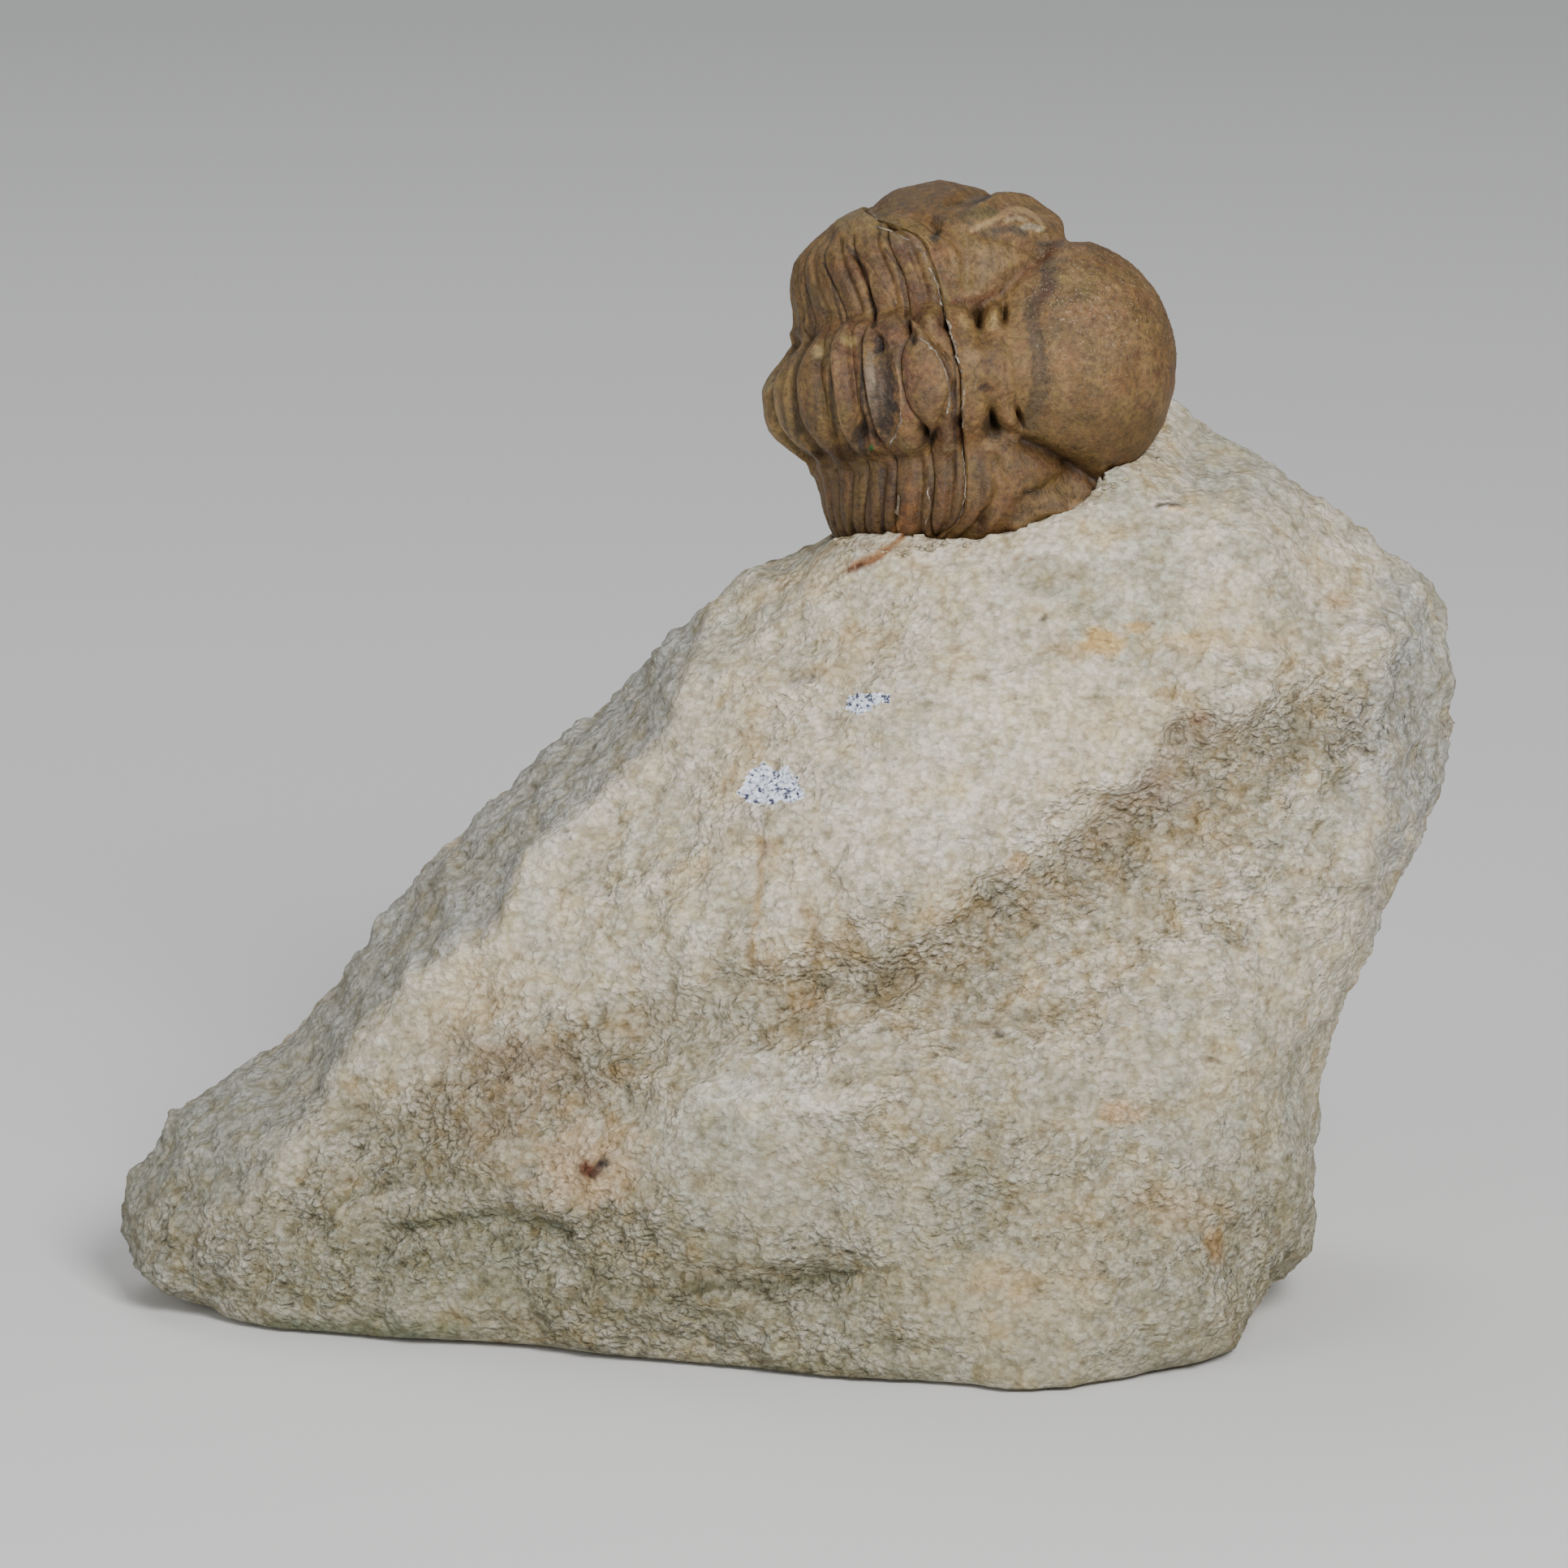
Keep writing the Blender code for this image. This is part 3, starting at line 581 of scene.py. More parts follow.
headMarks = {
    "fray": 9,
    "lines": [
        # the grey band across the glabella
        ([(1290, 328), (1296, 350), (1280, 368), (1270, 388), (1277, 410), (1281, 440),
          (1280, 470), (1276, 500), (1270, 522)], 13.0, (94, 80, 66), 0.75),
        ([(1286, 335), (1296, 352), (1282, 368)], 8.0, (84, 58, 54), 0.6),
        # reddish veins beside the furrows
        ([(1176, 371), (1214, 367), (1253, 342), (1291, 315), (1306, 297)],
          6.0, (112, 70, 48), 0.6),
        ([(1150, 310), (1163, 340), (1176, 371)], 5.0, (120, 76, 52), 0.45),
        ([(1160, 300), (1173, 335), (1186, 365)], 6.0, (138, 98, 74), 0.4),
        ([(1262, 546), (1290, 556), (1309, 568), (1342, 588)], 6.5, (62, 36, 24), 0.85),
        ([(1236, 552), (1262, 556), (1288, 566), (1330, 592)], 9.0, (96, 60, 34), 0.4),
        ([(1168, 250), (1180, 248), (1193, 249), (1207, 245), (1219, 240)], 3.5, (46, 36, 32), 0.9),
        ([(1181, 262), (1186, 268), (1196, 275)], 6.0, (70, 60, 44), 0.6),
        ([(1262, 608), (1276, 606), (1292, 608)], 2.8, (64, 52, 42), 0.8),
        ([(1250, 640), (1276, 628), (1306, 616)], 4.0, (66, 42, 28), 0.6),
        # painted shade around the cheek's rounded tip
        ([(1350, 590), (1354, 602), (1349, 615), (1337, 625), (1314, 632)],
          5.0, (50, 36, 28), 0.85),
        ([(1186, 560), (1240, 556)], 3.0, (128, 74, 44), 0.4),
        # the eye's rim, pale with painted highlights, its grey hollow and the dark line below it
        ([(1199, 282), (1219, 274), (1236, 263), (1251, 257), (1265, 259), (1277, 267),
          (1286, 280)], 4.0, (204, 176, 140), 0.85),
        ([(1199, 288), (1219, 281), (1236, 271), (1248, 265)], 2.2, (88, 66, 48), 0.7),
        ([(1256, 282), (1268, 277), (1282, 281)], 4.5, (222, 212, 204), 0.85),
        ([(1240, 270), (1252, 266), (1264, 270)], 4.0, (206, 190, 168), 0.6),
        ([(1226, 285), (1244, 281), (1262, 287)], 6.5, (74, 72, 70), 0.9),
        ([(1280, 297), (1296, 299), (1311, 297)], 6.0, (72, 68, 64), 0.75),
        ([(1199, 286), (1221, 291), (1253, 295), (1274, 300), (1291, 304)],
          3.0, (104, 76, 58), 0.6),
        ([(1180, 486), (1182, 546), (1187, 598), (1184, 621)], 4.0, (196, 150, 100), 0.3),
        ([(1208, 556), (1213, 590), (1210, 645)], 6.0, (84, 56, 34), 0.5),
        ([(1240, 560), (1232, 600), (1226, 640)], 8.0, (158, 124, 90), 0.45),
    ],
    "spots": [
        # darker top as painted shade, specks, and knobs given painted highlights
        (1145, 248, 70, 30, 112, 86, 46, 0.85), (1120, 280, 26, 16, 140, 118, 68, 0.5),
        (1212, 262, 22, 9, 112, 104, 74, 0.8), (1151, 289, 8, 8, 50, 42, 36, 0.9),
        (1155, 268, 9, 7, 78, 62, 46, 0.6), (1146, 324, 4, 5, 44, 36, 36, 0.9),
        (1190, 320, 4, 4, 70, 52, 44, 0.8), (1210, 323, 9, 3, 84, 64, 58, 0.7),
        (1214, 477, 9, 7, 78, 60, 58, 0.8), (1216, 452, 8, 12, 118, 84, 72, 0.4),
        (1241, 300, 44, 22, 164, 134, 108, 0.4), (1222, 398, 8, 12, 200, 172, 130, 0.8),
        (1188, 394, 9, 11, 196, 168, 126, 0.7), (1216, 548, 8, 9, 178, 150, 112, 0.6),
        (1199, 437, 10, 10, 176, 146, 116, 0.5), (1196, 545, 10, 12, 150, 120, 84, 0.4),
        # the pale spot at the cheek's rounded tip is a painted highlight
        (1220, 526, 14, 16, 60, 46, 34, 0.7), (1322, 617, 13, 6, 216, 188, 162, 0.8),
        (1222, 332, 52, 34, 178, 150, 120, 0.5), (1336, 598, 12, 12, 112, 84, 62, 0.6),
        (1368, 300, 70, 34, 132, 96, 62, 0.5), (1340, 540, 90, 50, 112, 88, 52, 0.55),
        (1440, 430, 22, 70, 126, 94, 58, 0.5), (1400, 437, 6, 6, 92, 60, 52, 0.7),
        (1366, 425, 10, 8, 108, 94, 84, 0.4), (1360, 400, 60, 60, 160, 132, 100, 0.35),
        (1194, 500, 10, 26, 124, 92, 84, 0.35), (1230, 655, 26, 10, 104, 72, 44, 0.6),
    ],
}


def headRelief(point):
    x = point[:, 0]
    across = np.abs(point[:, 2])
    facing = smoothStep(1.0, -2.0, point[:, 1])
    axialLine = 3.15 + 0.64 * np.maximum(x - 1.2, 0.0)
    onGlabella = smoothStep(0.25, -0.25, across - axialLine)
    axial = head["axialFurrow"] * bump((across - axialLine) / 1.19, 0.45) * smoothStep(-0.8, 0.6, x)
    occipital = head["occipitalFurrow"] * bump(x - 0.9, 0.34) * smoothStep(0.2, 2.2, across)
    occipital = (occipital + 0.1 * bump(x - 0.95, 0.4) + 0.1 * bump(x - 2.25, 0.4)) * onGlabella
    slits = 0.0
    for at, out, deep in head["slitsAt"]:
        lean = (x - at) - 0.15 * (across - out)
        slits = slits + head["slit"] * deep * bump(lean, 0.13) * bump(across - out, 0.46)
    sideLobes = 0.0
    for at, out, size, tall in head["sideLobes"]:
        sideLobes = sideLobes + tall * bump(np.hypot(x - at, (across - out) / 1.15), size)
    behind = x - curveThrough(*head["borderLine"], across)
    fromAxis = smoothStep(3.5, 4.6, across) * smoothStep(8.6, 7.4, across)
    border = head["borderFurrow"] * bump(behind - 1.25, 0.42) - 0.12 * bump(behind - 0.6, 0.35)
    cheek = 0.16 * bump(np.hypot((x - 1.7) / 1.5, (across - 5.2) / 1.5), 1.0)
    raised = sideLobes + cheek + eyeRelief(x, across)
    return (raised - axial - occipital - slits - border * fromAxis) * facing


# the palpebral lobe: a raised half moon with a rim, steep on its outer side where the lenses are
def eyeRelief(x, across):
    lean = math.radians(22)
    along = (x - 3.45) * math.cos(lean) - (across - 6.75) * math.sin(lean)
    out = (x - 3.45) * math.sin(lean) + (across - 6.75) * math.cos(lean)
    long, wide = head["eyeReach"]
    outer = np.hypot(along / long, np.maximum(out, 0.0) / wide)
    lobe = smoothStep(1.22, 0.86, outer) * smoothStep(-0.85, 0.1, out)
    rim = 0.13 * bump(outer - 0.8, 0.12) * smoothStep(0.0, 0.4, out)
    hollow = 0.1 * bump(outer - 0.45, 0.22) * smoothStep(0.0, 0.4, out)
    furrow = 0.22 * bump(out + 0.75, 0.32) * smoothStep(2.6, 1.4, np.abs(along))
    below = 0.1 * bump(outer - 1.3, 0.1) * smoothStep(0.0, 0.4, out)
    low = 1 - 0.38 * smoothStep(0.6, -1.6, along)
    return head["eyeHeight"] * lobe * low + rim - hollow - furrow - below


def headPoint(towards):
    angle = np.arctan2(-towards[:, 0], -towards[:, 1])
    latitude = np.arcsin(np.clip(towards[:, 2], -1.0, 1.0))
    cheek = profileRadius(shape["cheek"], latitude)
    rim = profileRadius(shape["rim"], latitude)
    body = cheek + (rim - cheek) * towardsFront(angle)
    lobes = [ellipsoidRadius(towards, *shape[lobe]) for lobe in ("frontalLobe", "rearGlabella")]
    k = shape["blend"]
    front = sum(r**k for r in (body, *lobes)) ** (1.0 / k)
    rear = np.maximum(profileRadius(shape["thorax"], latitude), cheek)
    share = smoothStep(math.radians(5), math.radians(-9), angle) * (np.abs(angle) < 2.5)
    radius = rear + (front - rear) * np.where(np.abs(latitude) > 1.0, 1.0, share)
    point = towards * radius[:, None]
    return point + towards * headRelief(point)[:, None]


# directions over the head shield, out from its middle to its edge
def headDirections():
    bm, t, s = gridWithPlaces(head["grid"], head["grid"])
    t = 2 * t - 1
    s = 2 * s - 1
    across = t * np.sqrt(1 - s * s / 2)
    up = s * np.sqrt(1 - t * t / 2)
    around = np.arctan2(up, across)
    share = np.minimum(np.hypot(across, up), 1.0)
    middle = np.array([0.7071, -0.7071, 0.0])
    back = np.array([-0.7071, -0.7071, 0.0])
    upward = np.array([0.0, 0.0, 1.0])
    rows = np.radians(np.array(shape["headRear"] + shape["headFront"][::-1][1:], float))
    edge = direction(rows[:, 0], rows[:, 1])
    edgeAround = np.arctan2(edge @ upward, edge @ back)
    edgeReach = np.arccos(np.clip(edge @ middle, -1, 1))
    reach = curveThrough(edgeAround, edgeReach, np.hypot(around, 1.4 * shape["midlineBend"]))
    sideways = np.outer(np.cos(around), back) + np.outer(np.sin(around), upward)
    polar = (share * reach)[:, None]
    return bm, np.cos(polar) * middle + np.sin(polar) * sideways, share


# the shell's ground colour: tan and olive brown, with painted shade darkening its lower side
def shellColours(points):
    big = cloud(points, 3.2, 4, 1.0)
    small = cloud(points, 1.0, 4, 5.0)
    return tint(
        plainColour(len(points), 152, 124, 88),
        ((134, 104, 66), 0.8 * smoothStep(0.0, 0.55, big)),
        ((128, 108, 68), 0.7 * smoothStep(0.05, 0.6, -big)),
        ((122, 86, 66), 0.5 * smoothStep(0.2, 0.7, small)),
        ((176, 148, 112), 0.45 * smoothStep(0.25, 0.8, -small)),
        # painted shade on the lower side
        ((108, 80, 46), 0.6 * smoothStep(-1.0, -7.0, points[:, 2])),
    )


def headColours(points, relief, front):
    ragged = 0.45 * cloud(points, 0.55, 4, 12.0)
    colours = tint(
        shellColours(points),
        # painted shade in the furrows and hollows, painted highlights on the raised parts
        ((64, 46, 30), 0.7 * smoothStep(0.12, 0.6, -relief)),
        ((178, 150, 114), 0.3 * smoothStep(0.1, 0.35, relief)),
    )
    return paint(colours, inPicture(points), headMarks, ragged, front)


def makeHead():
    bm, towards, share = headDirections()
    base = headPoint(towards)
    plain = headRelief(base)
    relief = plain.copy()
    front = smoothStep(0.28, 0.08, towards[:, 1])
    carve(relief, inPicture(base), head["grooves"], front)
    angle = np.arctan2(-towards[:, 0], -towards[:, 1])
    rough = 0.03 * cloud(base, 0.7, 4, 3.0) + 0.09 * cloud(base, 3.0, 3, 7.0)
    lobe = smoothStep(2.6, 4.6, base[:, 0]) * smoothStep(6.4, 5.2, np.abs(base[:, 2]))
    upper = 0.25 + 0.75 * lobe * smoothStep(-5.0, 2.0, base[:, 2])
    grainy = head["grainHeight"] * grains(base, head["grainSize"], 0.45) * upper
    lip = head["lipHeight"] * smoothStep(0.94, 0.985, share)
    lip = lip * smoothStep(0.0, 0.03, angle) * smoothStep(0.9, 0.5, angle)
    high = smoothStep(0.72, 1.0, np.abs(towards[:, 2])) * smoothStep(0.6, 0.2, towards[:, 1])
    turned = 0.12 * smoothStep(0.985, 1.0, share) + 0.6 * high * smoothStep(0.86, 1.0, share) ** 1.3
    moveVerts(bm, base + towards * (relief - plain + rough + grainy + lip - turned)[:, None])
    colours = headColours(base, relief, front)
    closeBehind(bm, (0.965, 0.9, 0.3))
    piece = finishPiece(bm, "headShield", fossilMaterial, ["head_shield"])
    setColours(piece.data, colours)
    # pale grains and painted glints, most on the upper frontal lobe
    setValues(piece.data, "speckleGlint", lobe * smoothStep(-3.0, 3.0, base[:, 2]) * 0.55 + 0.12)
    print("head shield", len(piece.data.polygons), "faces")
    return piece


# thorax and tail

thorax = {
    "grid": (52, 300),
    "farGrid": (28, 200),
    "ringHeight": 0.42,
    "halfRingDrop": 0.24,
    "nodeHeight": 0.36,
    "pleuralFurrow": 0.26,
    "lap": [0.1, 0.09, 0.14] + [0.09] * 8,
    "axialFurrow": 0.24,
    # where the plates' tips run together: line, half width in pixels, height
    "lobe": ([(1043, 286), (1056, 279), (1070, 273)], 15.0, 0.16),
    "grooves": [
        ([(1043, 286), (1056, 279), (1070, 273)], 13.0, 0.36),
        ([(1050, 312), (1066, 338), (1072, 370), (1076, 400)], 4.0, -0.26),
        ([(1145, 530), (1144, 545)], 8.0, -0.3),
        ([(1152, 426), (1165, 446), (1174, 472), (1176, 504)], 4.0, -0.14),
        ([(1060, 515), (1063, 540)], 6.0, -0.2),
        ([(1127, 412), (1124, 422)], 5.0, -0.3),
        ([(1084, 418), (1083, 428)], 4.0, -0.25),
        ([(1107, 612), (1105, 640)], 3.0, -0.15),
        ([(1140, 395), (1142, 408)], 11.0, 0.16),
        ([(1168, 544), (1168, 553)], 10.0, 0.2),
        ([(1116, 556), (1132, 552)], 9.0, 0.16),
        ([(1112, 590), (1122, 620), (1118, 650)], 10.0, 0.14),
    ],
    # where the raised ring starts, at the midline and at its sides, as a share of the plate
    "ringStart": (
        [(0.13, 0.85), (0.05, 0.75), (0.42, 0.5), (0.36, 0.45), (0.27, 0.4)] + [(0.3, 0.4)] * 6
    ),
    "furrowAt": [0.45, 0.34, 0.42, 0.5, 0.46] + [0.45] * 6,
}

thoraxMarks = {
    "fray": 7,
    "lines": [
        # dark seams: painted shade in the gaps between plates
        ([(1171, 400), (1176, 440), (1178, 486), (1177, 546), (1178, 590)],
          2.8, (50, 35, 28), 0.65),
        ([(1092, 309), (1106, 326), (1111, 345), (1115, 375), (1118, 397), (1124, 411)],
          2.6, (62, 42, 34), 0.7),
        ([(1047, 307), (1064, 330), (1070, 353), (1073, 380), (1076, 404)],
          3.4, (50, 34, 34), 0.75),
        ([(1016, 325), (1026, 345), (1032, 375), (1037, 407)], 2.4, (60, 42, 30), 0.75),
        ([(995, 352), (998, 375), (1002, 407)], 2.2, (62, 44, 30), 0.7),
        ([(1007, 353), (1014, 382), (1020, 400)], 2.0, (76, 56, 40), 0.6),
        ([(1052, 309), (1073, 326), (1087, 347), (1098, 364), (1106, 389), (1117, 404)],
          2.0, (84, 58, 44), 0.5),
        ([(1081, 287), (1109, 306), (1124, 323), (1133, 345), (1139, 375)], 2.4, (88, 62, 54), 0.5),
        ([(1024, 440), (1022, 480), (1026, 540)], 3.0, (66, 48, 32), 0.6),
        ([(1006, 430), (1007, 470), (1009, 530)], 2.2, (72, 54, 34), 0.6),
        ([(1018, 440), (1017, 480), (1019, 530)], 1.6, (176, 150, 112), 0.45),
        ([(976, 445), (973, 490), (980, 545)], 3.2, (64, 50, 32), 0.6),
        ([(966, 440), (963, 490), (970, 540)], 2.4, (78, 62, 40), 0.5),
        ([(1062, 430), (1060, 480), (1062, 540), (1072, 556)], 3.4, (46, 36, 32), 0.8),
        ([(1028, 590), (1030, 655)], 2.2, (64, 44, 26), 0.6),
        ([(1041, 590), (1043, 660)], 2.0, (64, 44, 26), 0.6),
        ([(1049, 590), (1052, 660)], 2.0, (60, 42, 26), 0.6),
        ([(1060, 586), (1062, 664)], 2.0, (60, 42, 26), 0.6),
        ([(1073, 580), (1075, 662)], 2.2, (58, 40, 24), 0.6),
        ([(1086, 580), (1088, 655)], 3.4, (48, 32, 22), 0.75),
        ([(1098, 575), (1101, 600), (1104, 625)], 2.4, (72, 50, 32), 0.5),
        ([(1143, 575), (1147, 600), (1150, 628), (1143, 649), (1127, 663)], 2.2, (74, 48, 30), 0.6),
        ([(1028, 420), (1026, 440)], 3.0, (52, 38, 30), 0.6),
        # pale lines; the broad ones along the crests of rings three to five are painted highlights
        ([(1150, 424), (1164, 444), (1173, 470), (1176, 500), (1173, 526)],
          4.5, (76, 50, 38), 0.75),
        ([(1088, 420), (1098, 435), (1106, 455), (1110, 478), (1110, 504)],
          1.8, (188, 150, 128), 0.8),
        ([(1116, 440), (1122, 470), (1120, 510)], 9.0, (134, 88, 78), 0.55),
        ([(1158, 455), (1162, 480), (1158, 505)], 4.0, (176, 148, 112), 0.5),
        ([(1152, 425), (1158, 470), (1152, 520)], 9.0, (158, 128, 92), 0.5),
        ([(1034, 440), (1033, 480), (1037, 530)], 7.0, (184, 152, 124), 0.65),
        ([(1052, 440), (1050, 480), (1053, 530)], 5.0, (104, 74, 54), 0.5),
        ([(990, 440), (987, 490), (994, 535)], 9.0, (158, 132, 94), 0.6),
        ([(955, 450), (951, 490), (958, 530)], 8.0, (186, 158, 116), 0.65),
        ([(944, 462), (939, 490), (943, 520), (954, 545)], 2.2, (158, 148, 130), 0.6),
        # rust where the second segment is broken
        ([(1108, 612), (1106, 634)], 2.6, (214, 200, 176), 0.7),
        ([(1118, 618), (1112, 645), (1104, 660), (1090, 674)], 8.0, (150, 98, 54), 0.75),
        # a painted highlight on the rust
        ([(1112, 634), (1105, 654)], 4.0, (206, 160, 108), 0.6),
        ([(1122, 585), (1126, 620), (1124, 650)], 7.0, (136, 96, 60), 0.5),
        ([(1160, 590), (1164, 620), (1156, 650)], 7.0, (116, 84, 66), 0.5),
    ],
    "spots": [
        # the grey core in the worn second ring, with pale streaks of painted highlight
        (1085, 484, 22, 62, 74, 62, 58, 0.85), (1072, 462, 6, 30, 152, 138, 130, 0.8),
        (1078, 500, 5, 16, 140, 120, 116, 0.6), (1084, 480, 4, 20, 150, 132, 128, 0.55),
        (1070, 486, 4, 18, 146, 124, 118, 0.5), (1096, 490, 8, 26, 58, 48, 48, 0.7),
        (1092, 520, 9, 24, 58, 48, 48, 0.7), (1080, 425, 7, 10, 58, 42, 46, 0.8),
        (1124, 418, 7, 10, 40, 28, 26, 0.9), (1083, 422, 5, 8, 48, 34, 34, 0.8),
        (1145, 538, 9, 11, 38, 28, 22, 0.9), (1062, 534, 7, 22, 46, 36, 26, 0.8),
        (1108, 437, 12, 10, 112, 78, 76, 0.6), (1120, 466, 10, 16, 132, 96, 84, 0.5),
        # pale nodes beside the axis, given painted highlights
        (990, 427, 6, 8, 176, 160, 128, 0.7), (1007, 434, 6, 9, 184, 168, 132, 0.7),
        (1049, 421, 7, 8, 186, 172, 122, 0.8), (1141, 402, 13, 13, 164, 136, 104, 0.6),
        (1102, 416, 7, 8, 150, 116, 94, 0.5), (1168, 548, 11, 11, 148, 132, 112, 0.7),
        (1123, 553, 12, 10, 158, 136, 104, 0.6), (1073, 565, 10, 9, 128, 106, 74, 0.5),
        (1031, 570, 9, 8, 146, 124, 88, 0.5), (1000, 568, 9, 8, 128, 104, 70, 0.5),
        # painted shade along the upper axial furrow and under the axis's bulge
        (1030, 560, 56, 12, 66, 46, 26, 0.75), (1010, 410, 50, 9, 84, 62, 38, 0.5),
        (1030, 572, 40, 8, 108, 76, 40, 0.4), (1058, 278, 30, 15, 148, 128, 90, 0.85),
        (1120, 300, 26, 12, 136, 128, 124, 0.35), (1075.5, 550.7, 3.2, 4.2, 30, 150, 88, 0.95),
        # browner patches
        (1098, 392, 12, 14, 138, 112, 84, 0.4), (1090, 350, 12, 26, 124, 94, 70, 0.45),
        (1128, 355, 8, 24, 120, 92, 72, 0.4), (1035, 610, 48, 48, 124, 98, 62, 0.5),
        (1045, 350, 16, 50, 112, 88, 60, 0.45), (1002, 490, 16, 56, 112, 88, 58, 0.5),
        (1142, 480, 24, 66, 122, 94, 72, 0.4), (1040, 275, 16, 9, 150, 132, 96, 0.5),
    ],
}


# height over the plain roll; share runs from the front edge to the rear, wide is the plate's width
def plateRelief(share, across, wide, angle, number):
    side = np.abs(across)
    onRing = smoothStep(3.65, 3.05, side)
    mid, out = thorax["ringStart"][number - 1]
    start = mid + (out - mid) * np.clip(side / 2.7, 0, 1.1) ** 2
    ring = np.clip((share - start) / np.maximum(1.0 - start, 0.05), 0, 1)
    behind = smoothStep(start - 0.03, start + 0.03, share)
    if number == 2:
        # worn through to its core: a lens-shaped hollow with pointed ends
        sunk = np.sin(np.pi * ring) * smoothStep(2.9, 2.1, side)
        form = 0.1 * (1 - behind) + behind * (0.12 - 0.34 * np.clip(sunk, 0, 1) ** 0.8)
    else:
        front = 0.12 * np.sin(np.pi * np.clip(share / np.maximum(start, 0.02), 0, 1))
        arch = dome(2 * ring - 1) ** (1.6 if number == 1 else 1.0) - 0.1
        low = front - thorax["halfRingDrop"]
        form = (1 - behind) * low + behind * thorax["ringHeight"] * arch
    nodeAway = np.hypot((side - 2.95) / 0.55, (share - 0.4) * wide / 0.5)
    pitAway = np.hypot((side - 2.45) / 0.3, share * wide / 0.35)
    form = form + thorax["nodeHeight"] * bump(nodeAway, 1.0) - 0.55 * bump(pitAway, 1.0)
    furrow = thorax["pleuralFurrow"] * bump((share - thorax["furrowAt"][number - 1]) * wide, 0.22)
    furrow = furrow * smoothStep(8.9, 7.6, side) * smoothStep(3.4, 4.2, side)
    arch = dome(2 * share - 1)
    bands = 0.2 * arch + smoothStep(7.4, 8.7, side) * (0.25 * arch - 0.2)
    lap = thorax["lap"][number - 1] * (smoothStep(0.0, 0.3, share * wide) - 1)
    lap = lap - 0.03 * smoothStep(0.12, 0.0, (1 - share) * wide)
    turn = np.degrees(angle)
    axial = thorax["axialFurrow"] * bump(side - 3.75, 0.55) * smoothStep(74, 46, turn)
    slim = 0.35 + 0.5 * smoothStep(0.6, 3.0, side) * np.where(across > 0, 1.0, 0.6)
    slim = slim * smoothStep(3.55, 2.95, side) * smoothStep(40, 72, turn)
    return onRing * form + (1 - onRing) * (bands - furrow) + lap - axial - slim


def plateColours(points, front, relief, share, wide, number):
    if number == 0 or number > 3:
        ground = (116, 94, 56), np.full(len(points), 0.45)
    else:
        plum = cloud(points, 1.5, 3, 20.0 + number)
        ground = (112, 80, 70), 0.65 * smoothStep(-0.15, 0.5, plum)
    colours = tint(
        shellColours(points),
        ground,
        # painted shade lower down, painted light on the far left where less light falls, painted
        # shade in the laps, furrows and hollows, and painted highlights on the raised parts
        ((92, 68, 40), 0.5 * smoothStep(-2.5, -4.5, points[:, 2])),
        ((188, 160, 116), 0.5 * smoothStep(-6.8, -9.2, points[:, 0])),
        ((70, 52, 36), 0.55 * smoothStep(0.16, 0.03, share * wide)),
        ((64, 48, 32), 0.6 * smoothStep(0.15, 0.5, -relief)),
        ((178, 156, 120), 0.4 * smoothStep(0.3, 0.5, relief)),
    )
    ragged = 0.4 * cloud(points, 0.45, 4, 33.0)
    streaks = 0.3 * cloud(points * np.array([3.0, 1.0, 0.7]), 0.6, 2, 35.0)
    return paint(colours, inPicture(points), thoraxMarks, ragged + streaks, front)


def makePlate(name, node, number, frontOf, rearOf, reliefOf, grid):
    bm, t, s = gridWithPlaces(*grid)
    side = 2 * s - 1
    latitude = side * 0.8
    # the plate's ends follow its edges, so a few rounds settle both
    for _ in range(4):
        angle = frontOf(latitude) * (1 - t) + rearOf(latitude) * t
        latitude = side * (edgeLatitude(angle) - 0.008)
    angle = frontOf(latitude) * (1 - t) + rearOf(latitude) * t
    radius = thoraxRadius(angle, latitude)
    wide = (rearOf(latitude) - frontOf(latitude)) * radius * np.cos(latitude)
    towards = direction(angle, latitude)
    base = towards * radius[:, None]
    relief = reliefOf(t, radius * np.sin(latitude), wide, angle)
    places = inPicture(base)
    front = smoothStep(0.25, 0.0, towards[:, 1])
    line, reach, height = thorax["lobe"]
    merged = smoothStep(1.15, 0.6, distanceToLine(places, line) / reach) * front
    relief += (height - relief) * merged
    carve(relief, places, thorax["grooves"], front)
    rough = 0.03 * cloud(base, 0.6, 4, 30.0 + number) + 0.07 * cloud(base, 2.5, 2, 50.0 + number)
    moveVerts(bm, base + towards * (relief + rough)[:, None])
    colours = plateColours(base, front, relief, t, wide, number)
    closeBehind(bm, (0.96, 0.88, 0.3))
    piece = finishPiece(bm, name, fossilMaterial, [node])
    setColours(piece.data, colours)
    setValues(piece.data, "speckleGlint", np.full(len(base), 0.12))
    return piece


def makeSegment(number):
    return makePlate(
        f"thoraxSegment{number:02d}", f"thorax_segment_{number:02d}", number,
        lambda latitude: rearEdgeOf(number - 1, latitude),
        lambda latitude: rearEdgeOf(number, latitude),
        lambda share, across, wide, angle: plateRelief(share, across, wide, angle, number),
        thorax["grid"] if number < 7 else thorax["farGrid"],
    )


def makeThorax():
    plates = [makeSegment(number) for number in range(1, 12)]
    print("thorax made")
    return plates


def tailRelief(share, across, wide, angle):
    side = np.abs(across)
    onAxis = smoothStep(3.4 - 2.2 * share, 2.8 - 2.2 * share, side)
    rings = 0.16 * np.sin(share * 9 * 2 * math.pi) * smoothStep(0.85, 0.6, share)
    ribs = 0.14 * np.sin(share * 7 * 2 * math.pi + side * 0.5) * smoothStep(0.8, 0.5, share)
    rim = 0.35 * smoothStep(0.3, 1.0, share)
    return onAxis * (rings + 0.25) + (ribs - rim) * (1 - onAxis)


